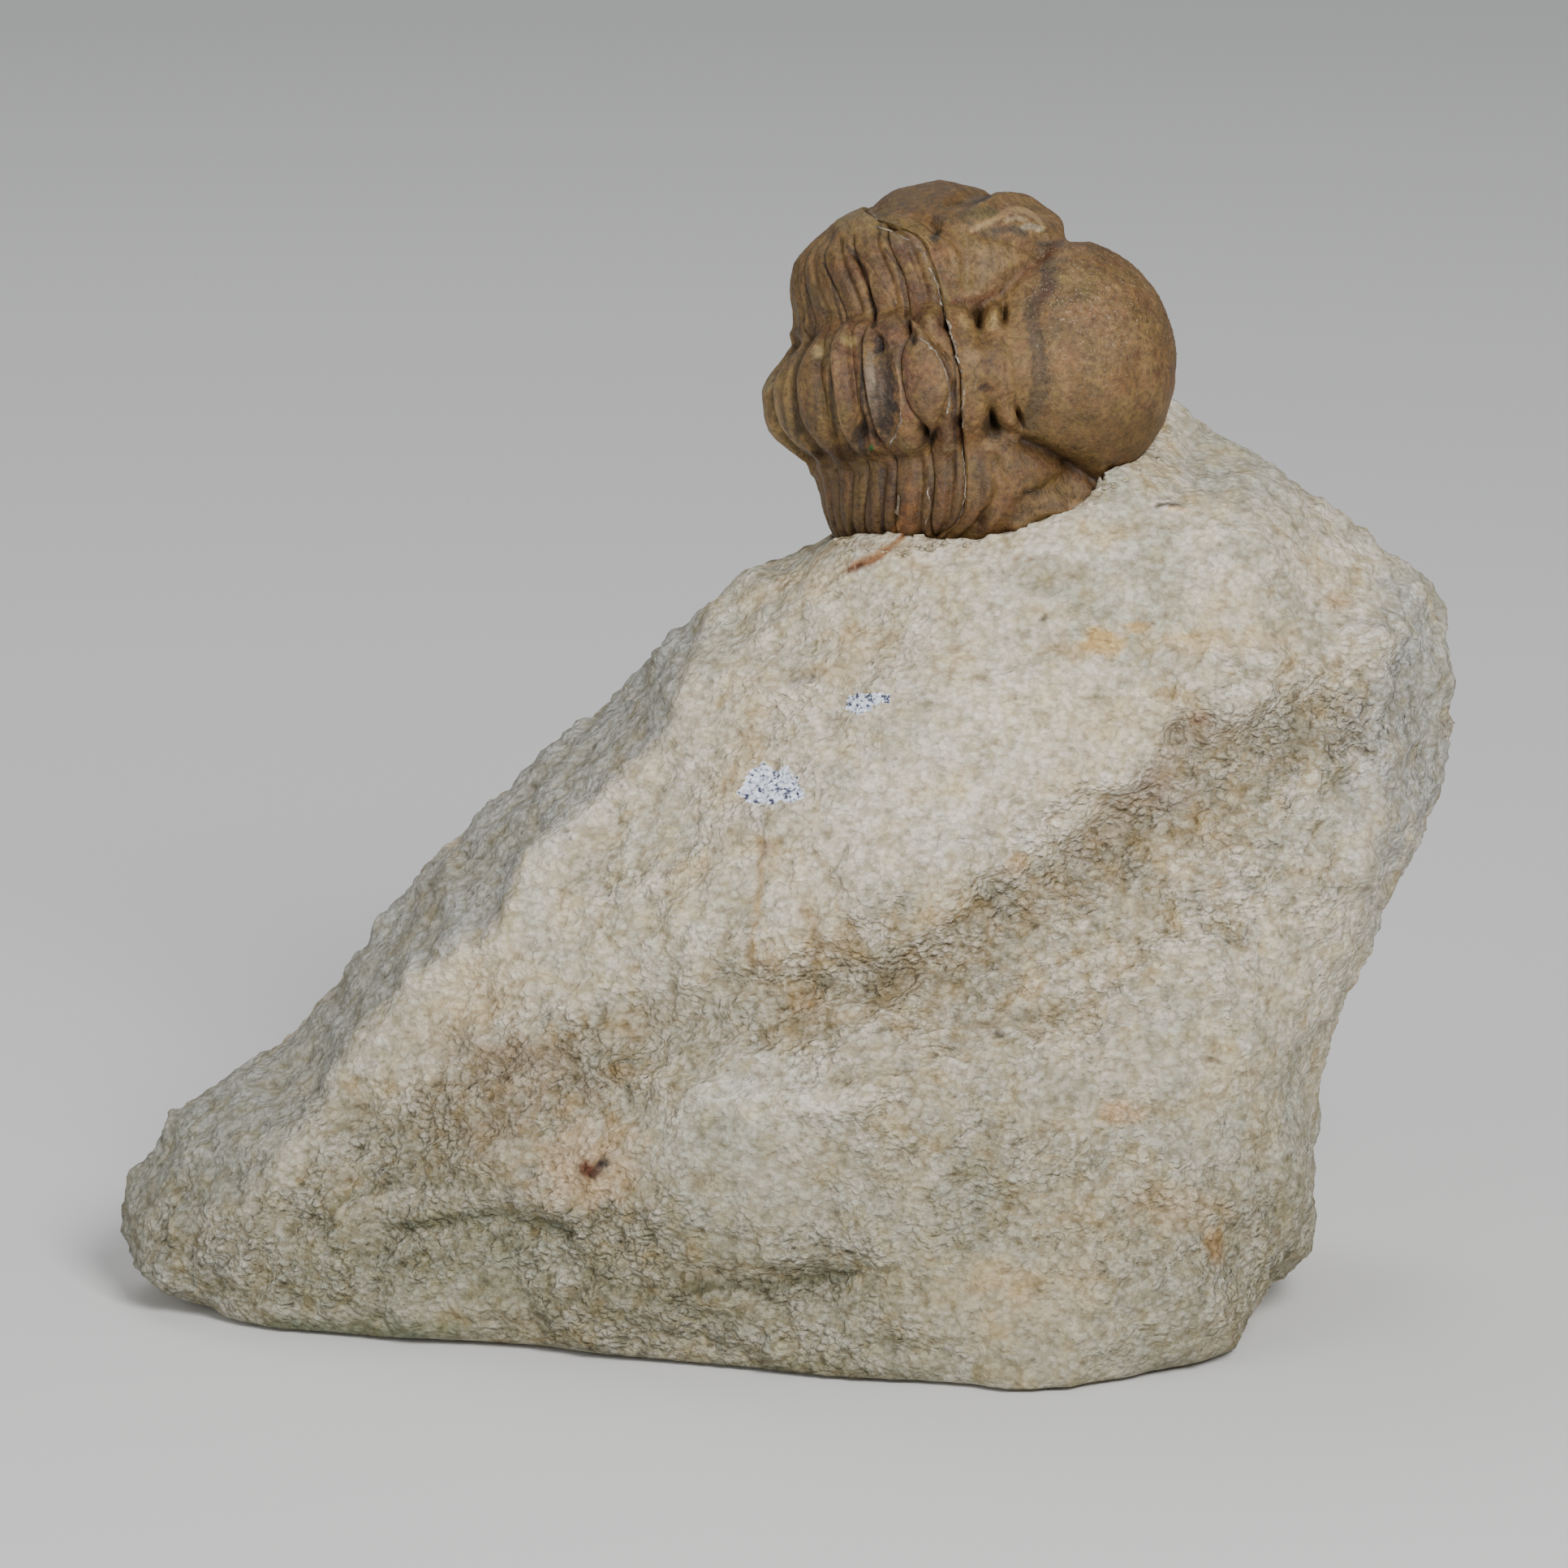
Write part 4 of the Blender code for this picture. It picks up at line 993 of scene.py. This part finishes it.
def makeTail():
    piece = makePlate(
        "tailShield", "tail_shield", 0,
        lambda latitude: rearEdgeOf(11, latitude),
        lambda latitude: math.radians(shape["tailEnd"]) + 0 * latitude,
        tailRelief, (150, 220),
    )
    print("tail made")
    return piece


# places in the photo, dropped on to whatever the camera sees there

def surfaceOf(pieces):
    verts = []
    faces = []
    for piece in pieces:
        first = len(verts)
        verts.extend(v.co.copy() for v in piece.data.vertices)
        faces.extend([first + i for i in p.vertices] for p in piece.data.polygons)
    return BVHTree.FromPolygons(verts, faces)


def dropOn(surface, place):
    eye = (viewToWorld @ Vector((0, -view["distance"], 0))) * mm
    across, up = ((place[0] - view["middle"]), (view["middle"] - place[1]))
    aim = (viewToWorld @ Vector((across / view["pixels"], 0, up / view["pixels"]))) * mm
    return surface.ray_cast(eye, (aim - eye).normalized())[:2]


# the rock

stone = {
    "voxel": 0.33,
    "smoothing": 5,
    "relief": [(5.0, 0.34), (2.0, 0.26), (0.95, 0.2)],  # size and height of its unevenness
    "pitSize": 0.8,
    "pitDepth": 0.14,
    "stray": 42,  # how far noise pushes the wide hollows' edges, in the photo's pixels
    "notch": (1392, 588, 28),  # where it fills the corner below the glabella
    "shy": (1342, 624, 20),  # where it stays low, below the cheek's rounded tip
    "aware": 4,  # how far off the fossil it notices it
    "hug": (1.4, 0.45),  # how near the fossil it is drawn up to it, and the gap it takes up
    "wide": 24,  # forms with a half width over this have strayed edges
    "forms": [
        ([(930, 720), (880, 780), (855, 850), (845, 900), (766, 970), (663, 1069), (612, 1155),
          (520, 1206)], 24, 0.6),
        ([(509, 1206), (457, 1279), (406, 1361), (345, 1440), (290, 1550)], 24, 0.45),
        ([(1560, 825), (1430, 890), (1300, 1000), (1190, 1080), (1070, 1130), (940, 1190),
          (860, 1200)], 26, 0.45),
        ([(640, 1390), (500, 1400)], 90, -0.5),
        ([(1500, 1040), (1350, 1130), (1180, 1210)], 60, -0.45),
        ([(850, 760), (780, 860), (690, 950), (570, 1090), (470, 1180), (350, 1330)], 34, -0.4),
        ([(1700, 880), (1600, 905), (1450, 965), (1340, 1050), (1240, 1120), (1100, 1190),
          (960, 1225), (800, 1245)], 52, -0.85),
        ([(1690, 790), (1706, 860), (1702, 960), (1672, 1080)], 18, 0.6),
        ([(1640, 640), (1690, 720), (1704, 790)], 30, 0.3),
        ([(760, 1310), (900, 1360), (1040, 1362), (1120, 1330)], 16, 0.35),
        ([(760, 1290), (880, 1330), (1040, 1330)], 20, -0.2),
        ([(460, 1520), (620, 1500), (760, 1530), (900, 1590), (1040, 1575)], 17, -0.42),
        ([(880, 1575), (1010, 1570)], 10, -0.35),
        ([(420, 1474), (500, 1456), (600, 1462)], 10, -0.18),
        ([(700, 1560), (800, 1604), (900, 1632)], 10, -0.2),
        ([(560, 1594), (700, 1602), (820, 1644)], 10, -0.16),
        ([(1010, 1500), (1040, 1370)], 12, -0.12),
        ([(560, 1300), (680, 1290), (790, 1310)], 26, -0.3),
        ([(480, 1400), (640, 1400)], 22, -0.22),
        ([(1240, 980), (1420, 900), (1560, 860)], 40, 0.25),
        ([(1020, 960), (1230, 950)], 60, 0.2),
        ([(1470, 1130), (1380, 1230), (1340, 1400)], 40, 0.2),
        ([(930, 1180), (935, 1100), (938, 1040)], 5, -0.08),
    ],
    # where it is coarse, pitted and dirty
    "coarse": [
        ([(1650, 890), (1540, 940), (1400, 1030), (1250, 1130), (1100, 1200), (980, 1230)],
          90, 1.0),
        ([(1560, 1080), (1400, 1180), (1300, 1240)], 80, 0.7),
        ([(400, 1480), (520, 1400), (660, 1330), (790, 1300)], 80, 0.9),
        ([(420, 1560), (560, 1500), (740, 1520), (900, 1590), (1060, 1570)], 70, 1.0),
        ([(640, 1640), (840, 1650), (1060, 1670)], 70, 0.9),
        ([(1150, 1400), (1400, 1500), (1540, 1580)], 130, 0.6),
        ([(230, 1540), (420, 1590)], 70, 0.9),
        ([(1100, 790), (1000, 850), (900, 1000), (780, 1100)], 90, 0.25),
    ],
    # chips that show fresh blue white stone: place and reach
    "chips": [
        (948, 966, 36, 22), (934, 976, 24, 16), (974, 978, 18, 12), (1058, 866, 22, 12),
        (1082, 862, 18, 7),
    ],
    # edge of the plain grey face on the left, grey as painted shade: heights in the photo, and how
    # far across
    "shadedGreyEdge": (
        [640, 740, 829, 897, 966, 1069, 1155, 1206, 1279, 1361, 1440, 1560, 1700],
        [960, 886, 850, 840, 766, 663, 612, 520, 457, 400, 345, 290, 240],
    ),
}

stoneMarks = {
    "fray": 24,
    "lines": [
        # the dirty band, darkened partly as painted shade in its hollow
        ([(1690, 880), (1560, 930), (1450, 975), (1340, 1060), (1250, 1120), (1120, 1190)],
          50, (140, 128, 108), 0.25),
        ([(1480, 900), (1390, 990), (1340, 1040)], 30, (140, 120, 100), 0.45),
        ([(1120, 1190), (1010, 1215), (900, 1210)], 36, (134, 126, 104), 0.25),
        # creases and cracks
        ([(500, 1512), (560, 1502), (620, 1500), (700, 1520)], 10, (66, 72, 56), 0.85),
        ([(850, 1588), (960, 1586), (1046, 1570)], 10, (62, 68, 50), 0.85),
        ([(640, 1210), (600, 1260), (560, 1290)], 7, (128, 112, 84), 0.5),
        ([(990, 1120), (1010, 1160), (1000, 1200)], 6, (132, 108, 70), 0.6),
        ([(1060, 1210), (1120, 1196), (1180, 1204)], 8, (104, 92, 66), 0.6),
        ([(1180, 1250), (1230, 1262), (1280, 1252)], 7, (96, 86, 68), 0.55),
        ([(420, 1474), (500, 1456), (600, 1462)], 8, (104, 106, 88), 0.6),
        ([(700, 1560), (800, 1604), (900, 1632)], 9, (98, 102, 84), 0.6),
        ([(560, 1594), (700, 1602), (820, 1644)], 9, (100, 102, 84), 0.5),
        ([(300, 1592), (420, 1602), (520, 1640)], 8, (104, 108, 90), 0.5),
        ([(1040, 1642), (1140, 1662)], 8, (100, 100, 80), 0.5),
        ([(900, 1360), (1000, 1362), (1080, 1350)], 16, (214, 206, 188), 0.5),
        # brown veins
        ([(936, 1030), (934, 1100), (928, 1185)], 5, (160, 132, 84), 0.6),
        ([(890, 1150), (930, 1186), (960, 1196)], 5, (118, 98, 70), 0.6),
        ([(1000, 1040), (1024, 1090)], 8, (152, 128, 92), 0.5),
        ([(1260, 880), (1300, 940), (1330, 985)], 8, (160, 138, 94), 0.5),
        ([(1400, 770), (1440, 850), (1480, 880)], 8, (170, 148, 110), 0.4),
        ([(820, 1240), (700, 1290), (600, 1300)], 24, (148, 130, 104), 0.45),
        # rust run down from the broken segment
        ([(1124, 654), (1100, 672), (1080, 684), (1054, 696)], 7, (148, 106, 68), 0.8),
        ([(1112, 664), (1082, 688), (1050, 699)], 4, (112, 66, 36), 0.85),
        ([(1064, 694), (1044, 702)], 5, (84, 44, 26), 0.85),
        # painted shade along the line where the shell meets the rock
        ([(1010, 655), (1060, 672), (1120, 676), (1160, 668), (1210, 656), (1270, 642),
          (1330, 620), (1352, 608)], 5, (146, 126, 98), 0.6),
        ([(1226, 660), (1240, 652)], 5, (150, 96, 50), 0.7),
        ([(1424, 622), (1440, 620), (1452, 626)], 3, (64, 54, 46), 0.9),
        ([(1440, 626), (1466, 632)], 3, (196, 160, 108), 0.6),
        ([(1250, 690), (1262, 684), (1272, 690)], 2.4, (120, 92, 60), 0.7),
        ([(996, 678), (1006, 682)], 2.6, (104, 74, 50), 0.7),
    ],
    "spots": [
        # chalky patches, then ochre stains
        (1200, 1010, 150, 90, 208, 200, 186, 0.5), (1190, 880, 200, 70, 206, 198, 182, 0.35),
        (1300, 860, 120, 60, 208, 198, 178, 0.4), (800, 1160, 110, 80, 204, 196, 178, 0.35),
        (930, 1340, 110, 50, 204, 202, 192, 0.5), (1360, 790, 26, 16, 182, 146, 84, 0.8),
        (1330, 800, 40, 14, 190, 162, 112, 0.5), (1404, 772, 20, 8, 190, 154, 96, 0.6),
        (1500, 790, 90, 18, 202, 178, 138, 0.45), (1645, 742, 22, 14, 198, 162, 118, 0.5),
        (1560, 600, 70, 60, 162, 161, 152, 0.55), (1310, 962, 18, 22, 176, 144, 92, 0.5),
        (1446, 985, 40, 30, 160, 136, 124, 0.4), (1520, 900, 90, 40, 150, 144, 130, 0.4),
        (1380, 1370, 30, 16, 196, 152, 96, 0.5), (1500, 1540, 14, 26, 150, 116, 70, 0.7),
        (1450, 1490, 70, 30, 176, 152, 118, 0.45), (1240, 1580, 40, 30, 186, 160, 118, 0.5),
        (1340, 1500, 110, 90, 178, 166, 142, 0.3), (1250, 1064, 22, 14, 170, 134, 86, 0.5),
        (1000, 1225, 26, 14, 166, 132, 84, 0.6),
        # the brown patch on the left, with its dark pit
        (590, 1220, 60, 60, 196, 176, 142, 0.45), (620, 1320, 110, 60, 146, 128, 106, 0.5),
        (760, 1320, 28, 16, 132, 110, 72, 0.6), (600, 1390, 60, 36, 140, 122, 104, 0.5),
        (720, 1440, 70, 60, 192, 158, 118, 0.5), (724, 1440, 13, 14, 86, 42, 30, 0.95),
        (742, 1433, 12, 12, 38, 36, 42, 0.95), (734, 1446, 8, 8, 64, 34, 28, 0.9),
        (648, 1444, 14, 8, 150, 160, 164, 0.6),
        # grey green shade low down
        (560, 1540, 240, 60, 124, 126, 108, 0.5), (760, 1610, 240, 50, 128, 124, 104, 0.45),
        (430, 1600, 140, 50, 138, 138, 122, 0.4), (300, 1520, 60, 60, 160, 156, 142, 0.4),
        (1240, 1600, 160, 60, 176, 160, 130, 0.4), (640, 1300, 40, 30, 120, 108, 88, 0.4),
        (420, 1640, 230, 14, 88, 98, 74, 0.6), (900, 1690, 300, 14, 100, 100, 78, 0.5),
        # the grey right side
        (1700, 1000, 40, 190, 160, 160, 155, 0.55), (1750, 880, 60, 190, 156, 157, 154, 0.8),
        (1660, 1440, 60, 200, 172, 168, 154, 0.4),
        # dark specks
        (1228, 1271, 5, 8, 48, 34, 38, 0.9), (1237, 1276, 4, 6, 60, 42, 44, 0.8),
        (1326, 1240, 4, 5, 70, 60, 50, 0.7), (1530, 632, 4, 3, 70, 64, 60, 0.8),
        (1500, 990, 6, 5, 84, 74, 62, 0.7), (1288, 762, 4, 4, 52, 40, 42, 0.8),
        (984, 840, 14, 9, 132, 132, 132, 0.5), (1000, 836, 5, 4, 60, 60, 66, 0.7),
        (1480, 885, 16, 8, 150, 110, 100, 0.5), (942, 1048, 12, 12, 132, 106, 96, 0.5),
    ],
}


def stoneColours(points, normals):
    turn = np.array(viewToWorld.inverted())[:3, :3]
    places = inPicture(points, Matrix())
    front = smoothStep(0.3, -0.1, (normals @ turn.T)[:, 1])
    big = cloud(points, 9.0, 4, 2.0)
    middle = cloud(points, 3.0, 4, 4.0)
    small = cloud(points, 1.1, 4, 6.0)
    edge = np.interp(places[:, 1], *stone["shadedGreyEdge"]) + 14 * middle
    colours = tint(
        plainColour(len(points), 194, 186, 170),
        ((172, 170, 156), 0.8 * smoothStep(0.0, 0.6, big)),
        ((192, 172, 138), 0.6 * smoothStep(0.05, 0.6, middle)),
        ((150, 148, 132), 0.6 * smoothStep(0.15, 0.7, -middle)),
        ((146, 132, 104), 0.45 * smoothStep(0.25, 0.7, small)),
        ((210, 204, 192), 0.4 * smoothStep(0.2, 0.7, -small)),
        # painted shade on the grey left face
        ((147, 148, 144), 0.9 * smoothStep(-22, 34, edge - places[:, 0]) * front),
    )
    strays = [cloud(points, 3.4, 3, seed) for seed in (90.0, 95.0)]
    strayed = places + stone["stray"] * np.stack(strays, 1)
    coarse = np.zeros(len(points))
    for line, reach, strength in stone["coarse"]:
        coarse = np.maximum(coarse, strength * bump(distanceToLine(strayed, line), reach) * front)
    coarse = np.maximum(coarse, 0.5 * smoothStep(0.1, 0.5, big) * (1 - front))
    clumps = 0.6 * cloud(points, 1.7, 4, 18.0) + 0.5 * cloud(points, 0.7, 3, 19.0)
    colours = tint(
        colours,
        ((214, 202, 184), 0.66 * coarse * smoothStep(0.16, -0.26, clumps)),
        ((108, 104, 90), 0.62 * coarse * smoothStep(0.06, 0.4, clumps)),
        ((164, 136, 86), 0.5 * coarse * smoothStep(0.15, 0.45, small)),
        # painted shade, darker towards the bottom
        ((128, 128, 113), 0.66 * smoothStep(1080, 1620, places[:, 1]) * front),
    )
    ragged = 0.5 * cloud(points, 1.6, 4, 14.0) + 0.35 * cloud(points, 0.7, 3, 16.0)
    colours = paint(colours, places, stoneMarks, ragged, front)
    chips = np.zeros(len(points))
    for x, y, wide, high in stone["chips"]:
        away = np.hypot((places[:, 0] - x) / wide, (places[:, 1] - y) / high)
        chips = np.maximum(chips, smoothStep(1.5, 0.5, away) * front)
    return colours, places, strayed, front, chips, coarse


# an even mesh over the solid, as points and normals in millimetres
def evenStone():
    bm = bmesh.new()
    bm.from_mesh(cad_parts["matrix_rock"].data)
    bmesh.ops.remove_doubles(bm, verts=bm.verts, dist=1e-6)
    holder = addObject("stoneStart", meshOf(bm, "stoneStart"))
    remesh = holder.modifiers.new("even", "REMESH")
    remesh.mode = "VOXEL"
    remesh.voxel_size = stone["voxel"] * mm
    smooth = holder.modifiers.new("soften", "SMOOTH")
    smooth.factor = 0.5
    smooth.iterations = stone["smoothing"]
    graph = bpy.context.evaluated_depsgraph_get()
    fine = bpy.data.meshes.new_from_object(holder.evaluated_get(graph))
    bpy.data.objects.remove(holder)
    bm = bmesh.new()
    bm.from_mesh(fine)
    bmesh.ops.transform(bm, matrix=Matrix.Scale(perMetre, 4), verts=bm.verts)
    bm.normal_update()
    return bm, np.array([v.co for v in bm.verts]), np.array([v.normal for v in bm.verts])


def stoneHeights(points, places, strayed, front, chips, coarse):
    height = np.zeros(len(points))
    for n, (size, tall) in enumerate(stone["relief"]):
        height += tall * cloud(points, size, 3, 60.0 + n)
    pits = grains(points * np.array([0.8, 0.9, 1.4]), stone["pitSize"], 0.6)
    height -= stone["pitDepth"] * (0.5 + 1.6 * coarse) * pits
    for form in stone["forms"]:
        carve(height, strayed if form[1] > stone["wide"] else places, [form], front)
    height -= 0.12 * chips
    height += 0.2 * coarse * cloud(points, 1.4, 3, 66.0)
    return height * smoothStep(0.02, 1.2, points[:, 2])


def makeStone(fossil):
    bm, points, normals = evenStone()
    colours, places, strayed, front, chips, coarse = stoneColours(points, normals)
    height = stoneHeights(points, places, strayed, front, chips, coarse)
    nearReach, taken = stone["hug"]
    notch, shy = (nearSpot(places, *stone[name]) * front for name in ("notch", "shy"))
    moved = []
    for point, normal, tall, deep, kept in zip(points, normals, height, notch, shy):
        hit, _, _, away = fossil.find_nearest(Vector(point) * mm, stone["aware"] * mm)
        if hit is None:
            moved.append(point + normal * tall)
            continue
        away *= perMetre
        place = Vector(point + normal * tall * smoothStep(0.6, 3.6, away))
        pull = smoothStep(nearReach + 1.6 * deep, 0.5, away) * (1 - kept)
        gap = hit * perMetre - place
        if gap.length > 1e-4:
            place += gap * (pull * min(taken + 1.2 * deep, gap.length - 0.03) / gap.length)
        moved.append(np.array(place))
    moveVerts(bm, moved)
    # painted shade in the hollows, painted highlights on the rises
    colours = tint(
        colours,
        ((134, 128, 110), 0.35 * smoothStep(0.2, 0.6, -height)),
        ((206, 200, 186), 0.25 * smoothStep(0.15, 0.5, height)),
    )
    piece = finishPiece(bm, "matrixStone", stoneMaterial, ["matrix_rock"], Matrix())
    setColours(piece.data, colours)
    setValues(piece.data, "coarse", coarse)
    setValues(piece.data, "chip", chips)
    print("stone", len(piece.data.polygons), "faces")
    return piece


# thin white calcite in the cracks, and crumbs of rock where the shell meets it

seams = {
    "lines": [  # places in the photo, and half the width in millimetres
        ([(1071, 256), (1076, 264), (1082, 273)], 0.045),
        ([(1076, 279), (1087, 281), (1098, 285), (1111, 292), (1121, 296)], 0.065),
        ([(1128, 301), (1137, 310), (1142, 322)], 0.055),
        ([(1144, 329), (1152, 343), (1158, 362), (1164, 386), (1172, 411), (1178, 434),
          (1184, 462)], 0.08),
        ([(1185, 466), (1187, 486), (1187, 508), (1188, 530)], 0.05),
        ([(1186, 546), (1187, 572), (1190, 598), (1187, 621), (1177, 649)], 0.035),
        ([(1130, 415), (1141, 422), (1152, 433), (1161, 448), (1167, 466), (1170, 483),
          (1169, 497), (1165, 512)], 0.075),
        ([(1110, 506), (1108, 522), (1102, 538), (1095, 552)], 0.06),
        ([(1107, 528), (1109, 516)], 0.04),
        ([(1108, 609), (1107, 622), (1105, 634)], 0.075),
        ([(1084, 662), (1092, 655)], 0.05),
        ([(1143, 600), (1147, 626), (1140, 647)], 0.03),
        ([(1264, 605), (1276, 604), (1288, 606)], 0.03),
    ],
    "spacing": 2.0,
    "shake": 2.2,
    "sides": 8,
}


def makeSeam(surface, line, width, number):
    line = np.asarray(line, float)
    lengths = np.concatenate([[0], np.cumsum(np.hypot(*(line[1:] - line[:-1]).T))])
    count = int(lengths[-1] / seams["spacing"]) + 3
    run = np.linspace(0, lengths[-1], count)
    places = np.stack([curveThrough(lengths, line[:, k], run) for k in (0, 1)], 1)
    shaky = cloud(np.stack([run * 0.04, run * 0 + number, run * 0], 1), 0.35, 3, 80.0)
    places[:, 0] += shaky * seams["shake"]
    hits, normals = zip(*(dropOn(surface, place) for place in places))
    middles = np.array(hits) * perMetre
    ups = np.array(normals)
    ups = ups + np.roll(ups, 1, 0) + np.roll(ups, -1, 0)
    ups = ups / np.linalg.norm(ups, axis=1)[:, None]
    sideways = np.cross(np.gradient(middles, axis=0), ups)
    sideways = sideways / np.linalg.norm(sideways, axis=1)[:, None]
    bm, t, s = gridWithPlaces(count - 1, seams["sides"])
    step = np.rint(t * (count - 1)).astype(int)
    around = 2 * math.pi * s
    taper = np.sqrt(np.clip(1 - (2 * t - 1) ** 8, 0, 1))
    taper = taper * width * (0.45 + 1.3 * np.abs(shaky[step]))
    out = sideways[step] * (np.cos(around) * taper)[:, None]
    lift = ups[step] * (np.sin(around) * taper * 0.7)[:, None]
    moveVerts(bm, middles[step] + out + lift)
    bmesh.ops.remove_doubles(bm, verts=bm.verts, dist=1e-4)
    return meshOf(bm, "seam")


def makeSeams(surface):
    bm = bmesh.new()
    for number, (line, width) in enumerate(seams["lines"]):
        bm.from_mesh(makeSeam(surface, line, width, number))
    piece = finishPiece(bm, "calciteSeams", calciteMaterial, [], Matrix())
    print("calcite seams", len(piece.data.polygons), "faces")


crumbs = {
    "contact": [  # places in the photo
        (1021, 655), (1035, 660), (1045, 668), (1060, 672), (1078, 676), (1100, 676), (1125, 674),
        (1141, 670), (1161, 664), (1178, 660), (1196, 662), (1212, 655), (1240, 649), (1266, 643),
        (1300, 630), (1340, 618), (1356, 604), (1362, 594), (1382, 594), (1404, 584), (1422, 566),
        (1436, 540), (1444, 512),
    ],
    "count": 90,
    "size": (0.06, 0.2),
    "stretch": [(0.8, 1.5), (0.8, 1.3), (0.5, 0.9)],
    "colour": (186, 176, 156),
    "seed": 7,
}


def makeCrumbs(surface):
    chance = random.Random(crumbs["seed"])
    bm = bmesh.new()
    line = np.array(crumbs["contact"], float)
    for number in range(crumbs["count"]):
        run = chance.random() * (len(line) - 1)
        x, y = line[int(run)] + (line[int(run) + 1] - line[int(run)]) * (run % 1)
        hit = dropOn(surface, (x + chance.gauss(0, 3), y + abs(chance.gauss(0, 4))))[0]
        if hit is None:
            continue
        size = chance.uniform(*crumbs["size"])
        made = bmesh.ops.create_icosphere(bm, subdivisions=2, radius=size)["verts"]
        stretch = Vector([chance.uniform(*sides) for sides in crumbs["stretch"]])
        for vert in made:
            uneven = 1 + 0.35 * noise.noise(vert.co * (1.6 / size) + Vector((number, 0, 0)))
            vert.co = vert.co * stretch * uneven + hit * perMetre
    piece = finishPiece(bm, "matrixCrumbs", stoneMaterial, [], Matrix())
    count = len(piece.data.vertices)
    setColours(piece.data, plainColour(count, *crumbs["colour"]))
    setValues(piece.data, "coarse", np.full(count, 0.5))
    print("crumbs", len(piece.data.polygons), "faces")


# floor, lights and camera

studio = {
    "floorSize": 1.5,
    "floorDrop": 0.0002,
    "floorColour": (0.74, 0.74, 0.73, 1),
    "aim": (0, 0, 0.03),
    "lights": [  # name, place, size and power
        ("keyLight", (0.17, -0.42, 0.34), 0.2, 3.3),
        ("fillLight", (-0.4, -0.45, 0.16), 0.4, 1.5),
        ("topLight", (-0.1, 0.3, 0.5), 0.3, 0.7),
    ],
    "worldColour": (0.95, 0.97, 1.0, 1),
    "worldLight": 0.3,
}


def makeLight(name, place, size, power):
    light = bpy.data.lights.new(name, "AREA")
    light.size = size
    light.energy = power
    lamp = addObject(name, light)
    lamp.location = place
    aim = Vector(studio["aim"]) - Vector(place)
    lamp.rotation_euler = aim.to_track_quat("-Z", "Y").to_euler()


def makeStudio():
    bm = bmesh.new()
    bmesh.ops.create_grid(bm, x_segments=2, y_segments=2, size=studio["floorSize"])
    floor = addObject("floor", meshOf(bm, "floor"))
    floor.location.z = -studio["floorDrop"]
    material, tree, shader = newMaterial("paleFloor")
    feed(tree, shader, {"Base Color": studio["floorColour"], "Roughness": 0.9})
    floor.data.materials.append(material)
    for light in studio["lights"]:
        makeLight(*light)
    world = bpy.data.worlds.new("softWorld")
    world.use_nodes = True
    feed(world.node_tree, world.node_tree.nodes["Background"], {
        "Color": studio["worldColour"], "Strength": studio["worldLight"],
    })
    bpy.context.scene.world = world


def makeCamera():
    lens = bpy.data.cameras.new("camera")
    lens.sensor_width = 36.0
    lens.lens = lens.sensor_width * view["distance"] / view["widthAtCentre"]
    lens.clip_start = 0.01
    camera = addObject("camera", lens)
    camera.location = (viewToWorld @ Vector((0, -view["distance"], 0))) * mm
    camera.rotation_euler = (math.pi / 2 - view["tilt"], 0, 0)
    bpy.context.scene.camera = camera


fossil = [makeHead(), *makeThorax(), makeTail()]
fossilSurface = surfaceOf(fossil)
rock = makeStone(fossilSurface)
makeSeams(fossilSurface)
makeCrumbs(surfaceOf([rock]))
makeStudio()
makeCamera()
